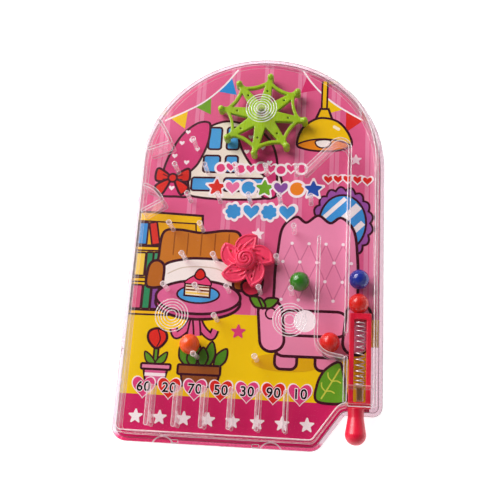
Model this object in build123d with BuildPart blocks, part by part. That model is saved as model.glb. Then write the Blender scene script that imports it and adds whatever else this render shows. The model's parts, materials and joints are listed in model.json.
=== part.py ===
"""Hand-held pinball (pachinko) toy: clear case, printed card, pegs, spinners, plunger and balls.

Millimetres. The toy lies on its back: +Z comes out of its front, +Y runs up to the half-round
top, and the origin is under the middle of the case. Heights along the toy are measured from
its bottom edge with up().
"""

import math
import os

from build123d import *

# ---------------------------------------------------------------- driving dimensions

# case outline
case_width = 105.0  # across the flange
case_length = 169.0  # bottom edge to the top of the arch
corner_radius = 6.0  # the two rounded bottom corners
step_height = 14.2  # bottom edge up to the step that lets the handle out
step_width = 14.3  # right edge to the inner corner of the step
slope_run = 10.2  # how far the slope beside the step leans
step_corner_radius = 3.6
step_inner_radius = 1.6
least_radius = 0.6  # the sharpest corner that the mould leaves

# clear front cover
flange_width = 2.8  # flange showing outside the cover wall
flange_thickness = 1.0
cover_wall = 1.2
cover_edge_radius = 0.9
inner_wall = 1.2  # thickness of the rails moulded inside

# back tray and card
tray_floor = 2.0
rim_width = 1.5
card_thickness = 0.4
card_clearance = 0.2
card_notch_width = 4.9  # strip of the right edge that the card leaves bare
card_notch_height = 41.0
tab_length = 2.4
tab_width = 1.0
tab_inset = 0.4
tab_clearance = 0.1
bottom_tab_places = (-27.0, 4.5)
side_tab_height = 35.0

# moulded marks on the cover
ring_count = 5
ring_first_radius = 2.0
ring_step = 1.12
ring_wire = 0.42
mark_radius = 4.5
mark_drop = 2.0  # centre of the half-round marks below the bottom edge
mark_width = 0.5
mark_height = 0.3
mark_places = (-31.5, 10.5)
low_ring_height = 48.5
left_ring_inset = 18.0  # left inner wall to the lower left ring mark
right_ring_inset = 10.3  # pocket wall to the lower right ring mark

# balls and their gaps
ball_diameter = 8.0
ball_gap = 0.15
ball_headroom = 1.6  # card to the underside of the cover, over a ball's diameter
lane_ball_gap = 1.9  # free space between the two balls in the lane
lane_clearance = 2.0
pocket_clearance = 2.4

# launching lane
hook_radius = 4.2
hook_rise = 5.5  # arch centre up to the centre of the hook
hook_turn = 138.0  # degrees that the hook bends round
hook_tail = 16.0
return_gap = 10.0  # opening through which a ball drops back into the lane

# pocket beside the lane
pocket_top = 83.0
pocket_arc_radius = 6.9
pocket_arc_height = 43.0
pocket_tail_tilt = 10.0

# pegs
peg_top_diameter = 2.1  # where the peg leaves the cover
peg_foot_diameter = 1.9
peg_columns = 5
first_peg_gap = 13.0  # left wall to the first column
last_peg_gap = 3.4  # last column to the pocket wall
low_row_height = 61.5
row_intervals = 4
row_gap_under_web = 6.0
high_lone_peg = (0.545, 4.9)  # in columns and rows of the grid
# in columns of the grid, and shares of the way from its lowest row down to the dividers
low_lone_pegs = ((1.675, 0.304), (1.13, 0.6958), (3.0, 0.6958))

# score slots
slot_count = 7
first_slot_shift = 0.9
divider_low = 6.0
divider_high = 22.0
divider_thickness = 1.5

# wedge-shaped deflectors on the left wall
upper_deflector_reach = 10.3
upper_deflector_rise = 7.5  # arch centre up to the tip
upper_deflector_spread = (10.0, 3.5)  # ends on the wall above and below the tip
upper_deflector_bulge = 0.4
lower_deflector_reach = 9.2
lower_deflector_share = 0.76  # of the row pitch, above the third row
lower_deflector_spread = (6.5, 5.0)
lower_deflector_bulge = 1.2

# web spinner
web_drop = 29.45  # top of the arch down to the spinner's axis
web_arms = 8
web_first_arm = 81.8  # degrees
web_tip_radius_out = 18.45
web_tip_diameter = 2.8
web_tip_height = 6.0
web_tip_drop = 0.7  # middle of the tip pegs below the middle of the plate
web_hub_radius = 6.6
web_arm_root = 6.2
web_arm_tip = 2.0
web_rib_radius = 16.2
web_rib_sag = 2.6
web_rib_width = 1.3
web_plate = 2.0
web_plate_lift = 3.2  # card to the underside of the plate
web_hub_height = 3.4
web_hole_diameter = 0.9
web_hole_radius = 11.3
web_port_diameter = 1.7
web_port_radius = 8.0
pin_diameter = 3.2
pin_clearance = 0.08
collar_diameter = 5.6
collar_clearance = 0.2

# flower spinner
flower_petals = 5
flower_first_petal = -4.0  # degrees
flower_shift = (0.1, -0.7)  # from its place in the peg grid
flower_clearance = 0.25
flower_plate = 2.2
flower_lift = 2.6
flower_hub_radius = 4.4
flower_hub_height = 5.6
flower_crown_radius = 2.4
flower_pin_diameter = 2.6
flower_pin_depth = 3.0
# a petal's outline from the root of its outer edge, by the bulge and the tip, to the inner root:
# share of the flower's reach, and degrees ahead of the tip
petal_profile = ((0.40, 88.0), (0.74, 50.0), (0.94, 27.0), (1.0, 0.0), (0.70, -9.0), (0.40, -24.0))
petal_hole_share = 0.66
petal_hole_lead = 12.0
petal_hole_diameter = 1.5

# plunger and spring
plunger_side_gap = 0.75
plunger_thickness = 3.4
plunger_foot_gap = 0.3  # frame's foot out of the cover's wall
window_foot_gap = 0.8  # cover's wall up to the window
window_top = 50.8
head_top = 53.3
rail_width = 1.9
head_card_gap = 0.4
head_height = 5.6
handle_tip = 3.0
handle_shift = -1.2
neck_flange_gap = 0.1  # handle's neck over the flange
neck_foot = 13.2
grip_radius = 4.05
slot_clearance = 0.3
stop_gap = 0.2
stop_bar_low = 23.6
stop_bar_high = 25.0
stop_post_width = 2.4
stop_bar_clearance = 0.5
spring_wire = 0.45
spring_turns = 12
spring_side_gap = 0.12
spring_end_gap = 0.05

# where loose balls lie
green_ball_bearing = 53.0  # degrees, from its peg to the ball
orange_ball_bearing = 121.0
pocket_ball_bearing = 225.0

# ---------------------------------------------------------------- worked-out places


def up(height):
    """Y of a point at this height above the bottom edge of the case."""
    return height - case_length / 2


card_bottom = tray_floor
card_top = tray_floor + card_thickness
chamber_height = ball_diameter + ball_headroom
cover_under = card_top + chamber_height
cover_top = cover_under + cover_wall
flange_top = card_top + flange_thickness
arch_radius = case_width / 2
arch_height = case_length - arch_radius
inside_inset = flange_width + cover_wall
field_left = -case_width / 2 + inside_inset
field_right = case_width / 2 - inside_inset

ball_radius = ball_diameter / 2
ball_level = card_top + ball_gap + ball_radius

lane_width = ball_diameter + lane_clearance
lane_wall_x = field_right - lane_width - inner_wall / 2
lane_middle_x = field_right - lane_width / 2
pocket_wall_x = lane_wall_x - ball_diameter - pocket_clearance - inner_wall

peg_area_right = pocket_wall_x - inner_wall / 2
first_column_x = field_left + first_peg_gap
column_pitch = (peg_area_right - last_peg_gap - first_column_x) / (peg_columns - 0.5)
web_reach = web_tip_radius_out + web_tip_diameter / 2
web_height = case_length - web_drop
top_row_height = web_height - web_reach - row_gap_under_web
row_pitch = (top_row_height - low_row_height) / row_intervals


def grid(column, row):
    """Point of the peg grid, counted in columns and rows from its lower left peg."""
    return first_column_x + column * column_pitch, up(low_row_height + row * row_pitch)


def under_grid(column, share):
    """Point under the grid, at a share of the way from its lowest row down to the dividers."""
    x, y = grid(column, 0)
    return x, y - share * (low_row_height - divider_high)


# pegs by row, from the lowest up; odd rows are shifted by half a column
peg_rows = [
    [grid(i, 0) for i in (0, 1, 2, 3, 4)],
    [grid(i + 0.5, 1) for i in (0, 1, 3)],
    [grid(i, 2) for i in (0, 1, 4)],
    [grid(i + 0.5, 3) for i in (0, 1, 2, 3, 4)],
    [grid(i, 4) for i in (0, 1, 2, 3, 4)],
]
loose_peg_places = [grid(*high_lone_peg)] + [under_grid(*place) for place in low_lone_pegs]
all_pegs = [peg for row in peg_rows for peg in row] + loose_peg_places

web_centre = (0.0, up(web_height))
flower_grid_x, flower_grid_y = grid(2.5, 1)
flower_centre = (flower_grid_x + flower_shift[0], flower_grid_y + flower_shift[1])
nearest_peg = min(math.dist(flower_centre, peg) for peg in all_pegs)
flower_reach = nearest_peg - peg_top_diameter / 2 - flower_clearance

ball_reach = ball_radius + peg_top_diameter / 2 + ball_gap  # from a peg's axis to a ball against it


def beside(centre, distance, bearing):
    """Point at a distance and a bearing, in degrees, from a centre."""
    angle = math.radians(bearing)
    return centre[0] + distance * math.cos(angle), centre[1] + distance * math.sin(angle)


plunger_level = ball_level
plunger_foot = step_height + flange_width - plunger_foot_gap
window_foot = step_height + inside_inset + window_foot_gap
neck_radius = plunger_level - flange_top - neck_flange_gap
plunger_left = lane_middle_x - lane_width / 2 + plunger_side_gap
plunger_right = lane_middle_x + lane_width / 2 - plunger_side_gap
window_left = plunger_left + rail_width
window_right = plunger_right - rail_width
spring_radius = (window_right - window_left) / 2 - spring_side_gap
lane_ball_x = lane_wall_x + inner_wall / 2 + ball_radius + ball_gap

pocket_arc_centre = (pocket_wall_x + pocket_arc_radius, up(pocket_arc_height))
pocket_ball_offset = pocket_arc_radius - inner_wall / 2 - ball_radius - ball_gap
pocket_tail_drop = math.radians(pocket_tail_tilt)

ball_places = {
    "ball_red_lane": (lane_ball_x, up(head_top) + ball_radius + ball_gap),
    "ball_blue": (lane_ball_x, up(head_top) + 3 * ball_radius + ball_gap + lane_ball_gap),
    "ball_red_pocket": beside(pocket_arc_centre, pocket_ball_offset, pocket_ball_bearing),
    "ball_green": beside(peg_rows[0][4], ball_reach, green_ball_bearing),
    "ball_orange": beside(loose_peg_places[2], ball_reach, orange_ball_bearing),
}

# ---------------------------------------------------------------- shared outlines


def corner(radius, inset):
    """Radius that is left of a rounded outside corner after an inset."""
    return max(radius - inset, least_radius)


def case_outline(inset):
    """Case outline pulled in by an inset: a half-round top on straight sides, and a slope and
    a step at the lower right."""
    slope = math.atan2(step_height, slope_run)
    slip = inset * math.tan(slope / 2)
    side = case_width / 2 - inset
    step_x = case_width / 2 - step_width - slip
    low_left = (-side, up(inset))
    slope_low = (step_x - slope_run, up(inset))
    slope_high = (step_x, up(step_height + inset))
    low_right = (side, up(step_height + inset))
    arch_left = (-side, up(arch_height))
    arch_right = (side, up(arch_height))
    with BuildSketch() as outline:
        with BuildLine():
            Polyline(arch_left, low_left, slope_low, slope_high, low_right, arch_right)
            ThreePointArc(arch_right, (0, up(arch_height) + side), arch_left)
        make_face()
        for point, radius in (
            (low_left, corner(corner_radius, inset)),
            (slope_low, corner(corner_radius, inset)),
            (slope_high, step_inner_radius + inset),
            (low_right, corner(step_corner_radius, inset)),
        ):
            fillet(outline.vertices().sort_by_distance((*point, 0))[0], radius)
    return outline.sketch


def thicken(thickness):
    """Widen the line just drawn into the outline of a wall with round ends."""
    offset(amount=thickness / 2, kind=Kind.ARC)


def save(piece, name):
    """Label a finished piece and write it to its own file."""
    piece.part.label = name
    export_step(piece.part, f"parts/{name}.step")


os.makedirs("parts", exist_ok=True)

# ---------------------------------------------------------------- case

# where the snap tabs stand: centre, and size along X and Y
tab_line = tab_inset + tab_width / 2
snap_tabs = [((x, up(tab_line)), (tab_length, tab_width)) for x in bottom_tab_places]
snap_tabs.append(((-case_width / 2 + tab_line, up(side_tab_height)), (tab_width, tab_length)))

with BuildPart() as back_tray:
    with BuildSketch():
        add(case_outline(0))
    extrude(amount=tray_floor)
    with BuildSketch(Plane.XY.offset(tray_floor)):
        add(case_outline(0))
    extrude(amount=card_thickness)
    with BuildSketch(Plane.XY.offset(tray_floor)):
        add(case_outline(rim_width))
    extrude(amount=card_thickness, mode=Mode.SUBTRACT)
    for place, size in snap_tabs:
        with BuildSketch(Plane.XY.offset(card_top)):
            with Locations(place):
                Rectangle(*size)
        extrude(amount=flange_thickness)
save(back_tray, "back_tray")

notch_left = case_width / 2 - card_notch_width
with BuildPart() as print_card:
    with BuildSketch(Plane.XY.offset(card_bottom)):
        add(case_outline(rim_width + card_clearance))
        with Locations((notch_left, up(0))):
            Rectangle(card_notch_width, card_notch_height,
                      align=(Align.MIN, Align.MIN), mode=Mode.SUBTRACT)
    extrude(amount=card_thickness)
save(print_card, "print_card")

# the wall of the step is open where the plunger leaves, between the flange and the roof
wall_outside = up(step_height + flange_width)
wall_inside = up(step_height + inside_inset)
slot_width = plunger_right - plunger_left + 2 * slot_clearance
slot_place = ((plunger_left + plunger_right) / 2, (wall_outside + wall_inside) / 2)

with BuildPart() as front_cover:
    with BuildSketch(Plane.XY.offset(card_top)):
        add(case_outline(0))
        for place, size in snap_tabs:
            with Locations(place):
                Rectangle(size[0] + 2 * tab_clearance, size[1] + 2 * tab_clearance,
                          mode=Mode.SUBTRACT)
    extrude(amount=flange_thickness)
    with BuildSketch(Plane.XY.offset(card_top)):
        add(case_outline(flange_width))
    extrude(amount=chamber_height + cover_wall)
    fillet(front_cover.faces().sort_by(Axis.Z)[-1].edges(), cover_edge_radius)
    with BuildSketch(Plane.XY.offset(card_top)):
        add(case_outline(inside_inset))
    extrude(amount=chamber_height, mode=Mode.SUBTRACT)
    with BuildSketch(Plane.XY.offset(flange_top)):
        with Locations(slot_place):
            Rectangle(slot_width, 2 * cover_wall)
    extrude(amount=cover_under - flange_top, mode=Mode.SUBTRACT)
save(front_cover, "front_cover")

# a sill and a lintel close that opening down to the slot that the plunger slides in
slot_low = plunger_level - plunger_thickness / 2 - slot_clearance
slot_high = plunger_level + plunger_thickness / 2 + slot_clearance
with BuildPart() as plunger_port:
    for low, high in ((flange_top, slot_low), (slot_high, cover_under)):
        with BuildSketch(Plane.XY.offset(low)):
            with Locations(slot_place):
                Rectangle(slot_width, cover_wall)
        extrude(amount=high - low)
save(plunger_port, "plunger_port")

# fine raised rings on the front face, over the web spinner and in both lower corners
ring_centres = {
    "ring_mark_top": web_centre,
    "ring_mark_left": (field_left + left_ring_inset, up(low_ring_height)),
    "ring_mark_right": (pocket_wall_x - right_ring_inset, up(low_ring_height)),
}
for name, centre in ring_centres.items():
    with BuildPart() as ring_mark:
        for i in range(ring_count):
            radius = ring_first_radius + i * ring_step
            with BuildSketch(Plane.XZ.offset(-centre[1])):
                with Locations((centre[0] + radius, cover_top)):
                    Circle(ring_wire / 2)
                with Locations((centre[0] + radius, cover_top - ring_wire)):
                    Rectangle(2 * ring_wire, 2 * ring_wire, mode=Mode.SUBTRACT)
            revolve(axis=Axis((centre[0], centre[1], 0), (0, 0, 1)))
    save(ring_mark, name)

# half-round beads on the bottom flange
with BuildPart() as flange_beads:
    with BuildSketch(Plane.XY.offset(flange_top)):
        with Locations(*[(x, up(-mark_drop)) for x in mark_places]):
            Circle(mark_radius + mark_width / 2)
            Circle(mark_radius - mark_width / 2, mode=Mode.SUBTRACT)
        with Locations((0, up(0))):
            Rectangle(case_width, 2 * mark_radius,
                      align=(Align.CENTER, Align.MAX), mode=Mode.SUBTRACT)
    extrude(amount=mark_height)
save(flange_beads, "flange_beads")

# ---------------------------------------------------------------- rails moulded under the cover

hook_centre = (lane_wall_x - hook_radius, up(arch_height + hook_rise))
hook_end = beside(hook_centre, hook_radius, hook_turn)
hook_tail_end = beside(hook_end, hook_tail, hook_turn + 90)
tail_start = beside(pocket_arc_centre, pocket_arc_radius, 270 - pocket_tail_tilt)
tail_length = lane_wall_x - tail_start[0]
tail_end = (lane_wall_x, tail_start[1] - tail_length * math.tan(pocket_tail_drop))
tail_stop = (lane_wall_x - inner_wall, tail_end[1] + inner_wall * math.tan(pocket_tail_drop))
lane_wall_foot = tail_end[1] + return_gap

with BuildPart() as lane_wall:
    with BuildSketch(Plane.XY.offset(card_top)):
        with BuildLine():
            Line((lane_wall_x, lane_wall_foot), (lane_wall_x, hook_centre[1]))
            CenterArc(hook_centre, hook_radius, 0, hook_turn)
            Line(hook_end, hook_tail_end)
            thicken(inner_wall)
        make_face()
    extrude(amount=chamber_height)
save(lane_wall, "lane_wall")

with BuildPart() as pocket_wall:
    with BuildSketch(Plane.XY.offset(card_top)):
        with BuildLine():
            Line((pocket_wall_x, up(pocket_top)), (pocket_wall_x, pocket_arc_centre[1]))
            CenterArc(pocket_arc_centre, pocket_arc_radius, 180, 90 - pocket_tail_tilt)
            Line(tail_start, tail_stop)
            thicken(inner_wall)
        make_face()
    extrude(amount=chamber_height)
save(pocket_wall, "pocket_wall")

with BuildPart() as plunger_guide:
    with BuildSketch(Plane.XY.offset(card_top)):
        with BuildLine():
            Line((lane_wall_x, tail_end[1]), (lane_wall_x, wall_inside + inner_wall / 2))
            thicken(inner_wall)
        make_face()
    extrude(amount=chamber_height)
save(plunger_guide, "plunger_guide")

slot_pitch = (pocket_wall_x - field_left - first_slot_shift) / slot_count
with BuildPart() as score_dividers:
    with BuildSketch(Plane.XY.offset(card_top)):
        for i in range(1, slot_count):
            divider_x = field_left + first_slot_shift + i * slot_pitch
            with Locations((divider_x, up((divider_low + divider_high) / 2))):
                SlotOverall(divider_high - divider_low, divider_thickness, rotation=90)
    extrude(amount=chamber_height)
save(score_dividers, "score_dividers")


def wall_face_x(height):
    """X of the inner face of the left wall at a height, on the straight side or on the arch."""
    rise = max(height - arch_height, 0)
    return -math.sqrt((arch_radius - inside_inset) ** 2 - rise**2)


lower_deflector_height = low_row_height + (2 + lower_deflector_share) * row_pitch
deflectors = {
    "upper_deflector": (
        arch_height + upper_deflector_rise,
        upper_deflector_reach,
        upper_deflector_spread,
        upper_deflector_bulge,
    ),
    "lower_deflector": (
        lower_deflector_height,
        lower_deflector_reach,
        lower_deflector_spread,
        lower_deflector_bulge,
    ),
}
for name, (tip_height, reach, (rise, fall), bulge) in deflectors.items():
    deflector_top = (wall_face_x(tip_height + rise) + inner_wall, up(tip_height + rise))
    deflector_tip = (field_left + reach, up(tip_height))
    deflector_foot = (wall_face_x(tip_height - fall) + inner_wall, up(tip_height - fall))
    with BuildPart() as deflector:
        with BuildSketch(Plane.XY.offset(card_top)):
            with BuildLine():
                SagittaArc(deflector_top, deflector_tip, bulge)
                Line(deflector_tip, deflector_foot)
                thicken(inner_wall)
            make_face()
        extrude(amount=chamber_height)
    save(deflector, name)

# ---------------------------------------------------------------- pegs


def build_pegs(places):
    """One solid peg at each place, a little thicker at the cover than at the card."""
    with BuildPart() as pegs:
        for x, y in places:
            with BuildSketch(Plane.XY.offset(card_top)):
                with Locations((x, y)):
                    Circle(peg_foot_diameter / 2)
            with BuildSketch(Plane.XY.offset(cover_under)):
                with Locations((x, y)):
                    Circle(peg_top_diameter / 2)
            loft()
    return pegs


for number, places in enumerate(peg_rows, start=1):
    save(build_pegs(places), f"peg_row_{number}")
save(build_pegs(loose_peg_places), "lone_pegs")

# ---------------------------------------------------------------- spinners

web_plate_bottom = card_top + web_plate_lift
web_bore = pin_diameter + 2 * pin_clearance
web_hub_top = web_plate_bottom + web_hub_height

with BuildPart() as web_pin:
    with BuildSketch(Plane.XY.offset(card_top)):
        with Locations(web_centre):
            Circle(collar_diameter / 2)
    extrude(amount=web_plate_lift - collar_clearance)
    with BuildSketch(Plane.XY.offset(card_top)):
        with Locations(web_centre):
            Circle(pin_diameter / 2)
    extrude(amount=chamber_height)
    with BuildSketch(Plane.XY.offset(web_hub_top + collar_clearance)):
        with Locations(web_centre):
            Circle(collar_diameter / 2)
    extrude(amount=cover_under - web_hub_top - collar_clearance)
save(web_pin, "web_pin")

arm_angles = [web_first_arm + i * 360 / web_arms for i in range(web_arms)]
half_arm = 180 / web_arms
rib_middle_radius = web_rib_radius * math.cos(math.radians(half_arm)) - web_rib_sag / 2
with BuildPart() as web_spinner:
    with BuildSketch(Plane.XY.offset(web_plate_bottom)):
        with Locations(web_centre):
            Circle(web_hub_radius)
        for angle in arm_angles:
            root_left = beside(web_centre, web_arm_root, angle + half_arm)
            root_right = beside(web_centre, web_arm_root, angle - half_arm)
            tip = beside(web_centre, web_tip_radius_out, angle)
            tip_left = beside(tip, web_arm_tip / 2, angle + 90)
            tip_right = beside(tip, web_arm_tip / 2, angle - 90)
            with BuildLine():
                Polyline(root_left, tip_left, tip_right, root_right, web_centre, close=True)
            make_face()
        for angle in arm_angles:
            rib_start = beside(web_centre, web_rib_radius, angle)
            rib_middle = beside(web_centre, rib_middle_radius, angle + half_arm)
            rib_end = beside(web_centre, web_rib_radius, angle + 2 * half_arm)
            with BuildLine():
                ThreePointArc(rib_start, rib_middle, rib_end)
                thicken(web_rib_width)
            make_face()
        for angle in arm_angles:
            with Locations(beside(web_centre, web_hole_radius, angle)):
                Circle(web_hole_diameter / 2, mode=Mode.SUBTRACT)
            with Locations(beside(web_centre, web_port_radius, angle + half_arm)):
                Circle(web_port_diameter / 2, mode=Mode.SUBTRACT)
    extrude(amount=web_plate)
    with BuildSketch(Plane.XY.offset(web_plate_bottom)):
        with Locations(web_centre):
            Circle(collar_diameter / 2)
    extrude(amount=web_hub_height)
    tip_middle = web_plate_bottom + web_plate / 2 - web_tip_drop
    for angle in arm_angles:
        tip_x, tip_y = beside(web_centre, web_tip_radius_out, angle)
        straight = web_tip_height - web_tip_diameter
        with Locations((tip_x, tip_y, tip_middle)):
            Cylinder(web_tip_diameter / 2, straight)
        for end in (tip_middle + straight / 2, tip_middle - straight / 2):
            with Locations((tip_x, tip_y, end)):
                Sphere(web_tip_diameter / 2)
    with BuildSketch(Plane.XY.offset(web_plate_bottom)):
        with Locations(web_centre):
            Circle(web_bore / 2)
    extrude(amount=web_hub_height, mode=Mode.SUBTRACT)
save(web_spinner, "web_spinner")

# the flower turns on a short pin in a blind hole under its hub
flower_bottom = card_top + flower_lift
with BuildPart() as flower_pin:
    with BuildSketch(Plane.XY.offset(card_top)):
        with Locations(flower_centre):
            Circle(collar_diameter / 2)
    extrude(amount=flower_lift - collar_clearance)
    with BuildSketch(Plane.XY.offset(card_top)):
        with Locations(flower_centre):
            Circle(flower_pin_diameter / 2)
    extrude(amount=flower_lift + flower_pin_depth - collar_clearance)
save(flower_pin, "flower_pin")


petal_angles = [flower_first_petal + i * 360 / flower_petals for i in range(flower_petals)]
petal_hole_radius = flower_reach * petal_hole_share
petal_hole_places = [beside(flower_centre, petal_hole_radius, angle + petal_hole_lead)
                     for angle in petal_angles]
with BuildPart() as flower_spinner:
    with BuildSketch(Plane.XY.offset(flower_bottom)):
        with Locations(flower_centre):
            Circle(flower_hub_radius)
        for angle in petal_angles:
            # the outer edge bulges ahead of the tip, the inner edge is hollow
            outer_root, bulge_low, bulge_high, petal_tip, hollow, inner_root = [
                beside(flower_centre, flower_reach * share, angle + lead)
                for share, lead in petal_profile
            ]
            with BuildLine():
                Spline(outer_root, bulge_low, bulge_high, petal_tip)
                ThreePointArc(petal_tip, hollow, inner_root)
                Line(inner_root, outer_root)
            make_face()
        for place in petal_hole_places:
            with Locations(place):
                Circle(petal_hole_diameter / 2, mode=Mode.SUBTRACT)
    extrude(amount=flower_plate)
    with BuildSketch(Plane.XY.offset(flower_bottom)):
        with Locations(flower_centre):
            Circle(flower_hub_radius)
    extrude(amount=flower_hub_height)
    fillet(flower_spinner.faces().sort_by(Axis.Z)[-1].edges(), flower_crown_radius)
    with BuildSketch(Plane.XY.offset(flower_bottom)):
        with Locations(flower_centre):
            Circle(flower_pin_diameter / 2 + pin_clearance)
    extrude(amount=flower_pin_depth, mode=Mode.SUBTRACT)
save(flower_spinner, "flower_spinner")

# ---------------------------------------------------------------- plunger, stop and spring

plunger_bottom = plunger_level - plunger_thickness / 2
frame_middle_x = (plunger_left + plunger_right) / 2
handle_x = frame_middle_x + handle_shift
with BuildPart() as plunger:
    with BuildSketch(Plane.XY.offset(plunger_bottom)):
        with Locations((frame_middle_x, up(plunger_foot))):
            Rectangle(plunger_right - plunger_left, head_top - plunger_foot,
                      align=(Align.CENTER, Align.MIN))
        with Locations((frame_middle_x, up(window_foot))):
            Rectangle(window_right - window_left, window_top - window_foot,
                      align=(Align.CENTER, Align.MIN), mode=Mode.SUBTRACT)
    extrude(amount=plunger_thickness)
    with BuildSketch(Plane.XY.offset(card_top + head_card_gap)):
        with Locations((frame_middle_x, up(window_top))):
            Rectangle(plunger_right - plunger_left, head_top - window_top,
                      align=(Align.CENTER, Align.MIN))
    extrude(amount=head_height)
    with BuildSketch(Plane.XY.offset(plunger_level)):
        grip_centre = up(handle_tip) + grip_radius
        with BuildLine():
            Line((handle_x, up(handle_tip)), (handle_x, up(plunger_foot)))
            Line((handle_x, up(plunger_foot)), (handle_x + neck_radius, up(plunger_foot)))
            Polyline((handle_x + neck_radius, up(plunger_foot)),
                     (handle_x + neck_radius, up(neck_foot)),
                     (handle_x + grip_radius, grip_centre))
            CenterArc((handle_x, grip_centre), grip_radius, 270, 90)
        make_face()
    revolve(axis=Axis((handle_x, 0, plunger_level), (0, 1, 0)))
save(plunger, "plunger")

post_foot = window_foot + stop_gap
bar_bottom = plunger_level + plunger_thickness / 2 + stop_bar_clearance
with BuildPart() as spring_stop:
    with BuildSketch(Plane.XY.offset(card_top)):
        with Locations((frame_middle_x, up(post_foot))):
            Rectangle(stop_post_width, stop_bar_high - post_foot, align=(Align.CENTER, Align.MIN))
    extrude(amount=chamber_height)
    with BuildSketch(Plane.XY.offset(bar_bottom)):
        with Locations((lane_middle_x, up(stop_bar_low))):
            Rectangle(lane_width, stop_bar_high - stop_bar_low, align=(Align.CENTER, Align.MIN))
    extrude(amount=cover_under - bar_bottom)
save(spring_stop, "spring_stop")

# the spring sits in the window, between the stop and the underside of the plunger's head
spring_low = up(stop_bar_high) + spring_end_gap + spring_wire / 2
spring_high = up(window_top) - spring_end_gap - spring_wire / 2
coil_radius = spring_radius - spring_wire / 2
with BuildPart() as plunger_spring:
    with BuildLine():
        spring_length = spring_high - spring_low
        coil = Helix(spring_length / spring_turns, spring_length, coil_radius,
                     center=(frame_middle_x, spring_low, plunger_level), direction=(0, 1, 0))
    with BuildSketch(Plane(origin=coil @ 0, z_dir=coil % 0)):
        Circle(spring_wire / 2)
    sweep(is_frenet=True)
save(plunger_spring, "plunger_spring")

# ---------------------------------------------------------------- balls

for name, place in ball_places.items():
    with BuildPart() as ball:
        with Locations((place[0], place[1], ball_level)):
            Sphere(ball_radius)
    save(ball, name)
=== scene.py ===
# %% [markdown]
# # A hand-held pinball toy
# The toy is a shallow case of clear styrene over a printed card. The frame holds its sizes, its
# joints and the places of all parts. This script gives every part the surface of the real one
# and adds what the frame leaves plain: the print, the softened edges of mouldings, the spring.

# %% Load the frame
import json
import math

import bmesh
import bpy
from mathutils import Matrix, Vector


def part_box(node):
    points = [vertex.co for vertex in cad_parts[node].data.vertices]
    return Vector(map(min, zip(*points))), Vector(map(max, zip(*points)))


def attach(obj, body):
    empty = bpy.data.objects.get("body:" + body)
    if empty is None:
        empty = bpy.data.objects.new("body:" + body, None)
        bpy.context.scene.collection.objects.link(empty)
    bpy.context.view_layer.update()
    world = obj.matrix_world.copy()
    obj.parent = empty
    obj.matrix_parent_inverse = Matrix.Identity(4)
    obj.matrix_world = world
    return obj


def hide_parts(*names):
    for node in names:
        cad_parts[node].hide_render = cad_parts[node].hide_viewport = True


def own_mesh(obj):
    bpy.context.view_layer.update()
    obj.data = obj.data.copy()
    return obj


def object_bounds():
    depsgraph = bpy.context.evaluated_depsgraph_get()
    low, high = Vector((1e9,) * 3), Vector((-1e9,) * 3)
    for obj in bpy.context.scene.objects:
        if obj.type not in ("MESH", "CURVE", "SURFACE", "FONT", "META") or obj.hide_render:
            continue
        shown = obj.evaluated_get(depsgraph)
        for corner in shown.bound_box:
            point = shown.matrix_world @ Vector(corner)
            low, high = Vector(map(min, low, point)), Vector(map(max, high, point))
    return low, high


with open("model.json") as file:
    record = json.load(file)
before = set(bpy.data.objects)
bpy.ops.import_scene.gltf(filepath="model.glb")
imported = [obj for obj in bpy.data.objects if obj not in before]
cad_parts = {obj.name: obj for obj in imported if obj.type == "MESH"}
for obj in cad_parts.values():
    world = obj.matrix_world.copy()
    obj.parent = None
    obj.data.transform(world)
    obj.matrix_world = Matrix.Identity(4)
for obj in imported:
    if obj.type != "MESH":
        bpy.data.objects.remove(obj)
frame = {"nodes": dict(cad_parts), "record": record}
nodes = frame["nodes"]
cad_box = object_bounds()
MM = 0.001

tray_low, tray_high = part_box("back_tray")
card_low, card_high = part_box("print_card")
CARD_TOP = card_high.z
BOTTOM_EDGE = tray_low.y
print("card", [round(1000 * v, 1) for v in (*card_low, *card_high)])


def spot(x, height, z=0.0):
    """Point from millimetres: across from the middle, up from the bottom edge, over the card."""
    return Vector((x * MM, BOTTOM_EDGE + height * MM, CARD_TOP + z * MM))


# %% [markdown]
# ## Tools for colour and nodes
# A colour is written as the sRGB hex value that a designer would pick, and Blender wants linear
# light, so one function turns one into the other. One more function adds a node, sets it and
# links it, which keeps each material as short as its recipe.

# %% Colour and node helpers


def srgb(hex_value):
    """Linear RGBA of an sRGB colour such as '#D05070'."""
    channels = [int(hex_value[i:i + 2], 16) / 255 for i in (1, 3, 5)]
    return (*[c / 12.92 if c <= 0.04045 else ((c + 0.055) / 1.055) ** 2.4 for c in channels], 1.0)


def add(tree, kind, settings=None, **inputs):
    """Add a node; an input given as an output socket is linked, any other value is set."""
    node = tree.nodes.new(kind)
    for key, value in (settings or {}).items():
        setattr(node, key, value)
    for key, value in inputs.items():
        socket = node.inputs[int(key[1:])] if key[0] == "i" and key[1:].isdigit() else node.inputs[
            key.replace("_", " ")]
        if isinstance(value, bpy.types.NodeSocket):
            tree.links.new(value, socket)
        else:
            socket.default_value = value
    return node


def new_material(name):
    """An empty node material and its output node."""
    material = bpy.data.materials.new(name)
    material.use_nodes = True
    material.node_tree.nodes.clear()
    return material, material.node_tree, material.node_tree.nodes.new("ShaderNodeOutputMaterial")


def place_of(tree):
    """Object coordinates, in metres."""
    return tree.nodes.new("ShaderNodeTexCoord").outputs["Object"]


# %% [markdown]
# ## Moulded plastic
# The spinners, the plunger and the balls are injection-moulded. Such plastic is glossy, with an
# IOR near 1.5, and shows a faint orange peel, slow drifts of colour where the melt flowed, and
# hair scratches from play. The recipe is one function; each part only brings its colour.

# %% Moulded plastic


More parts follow.
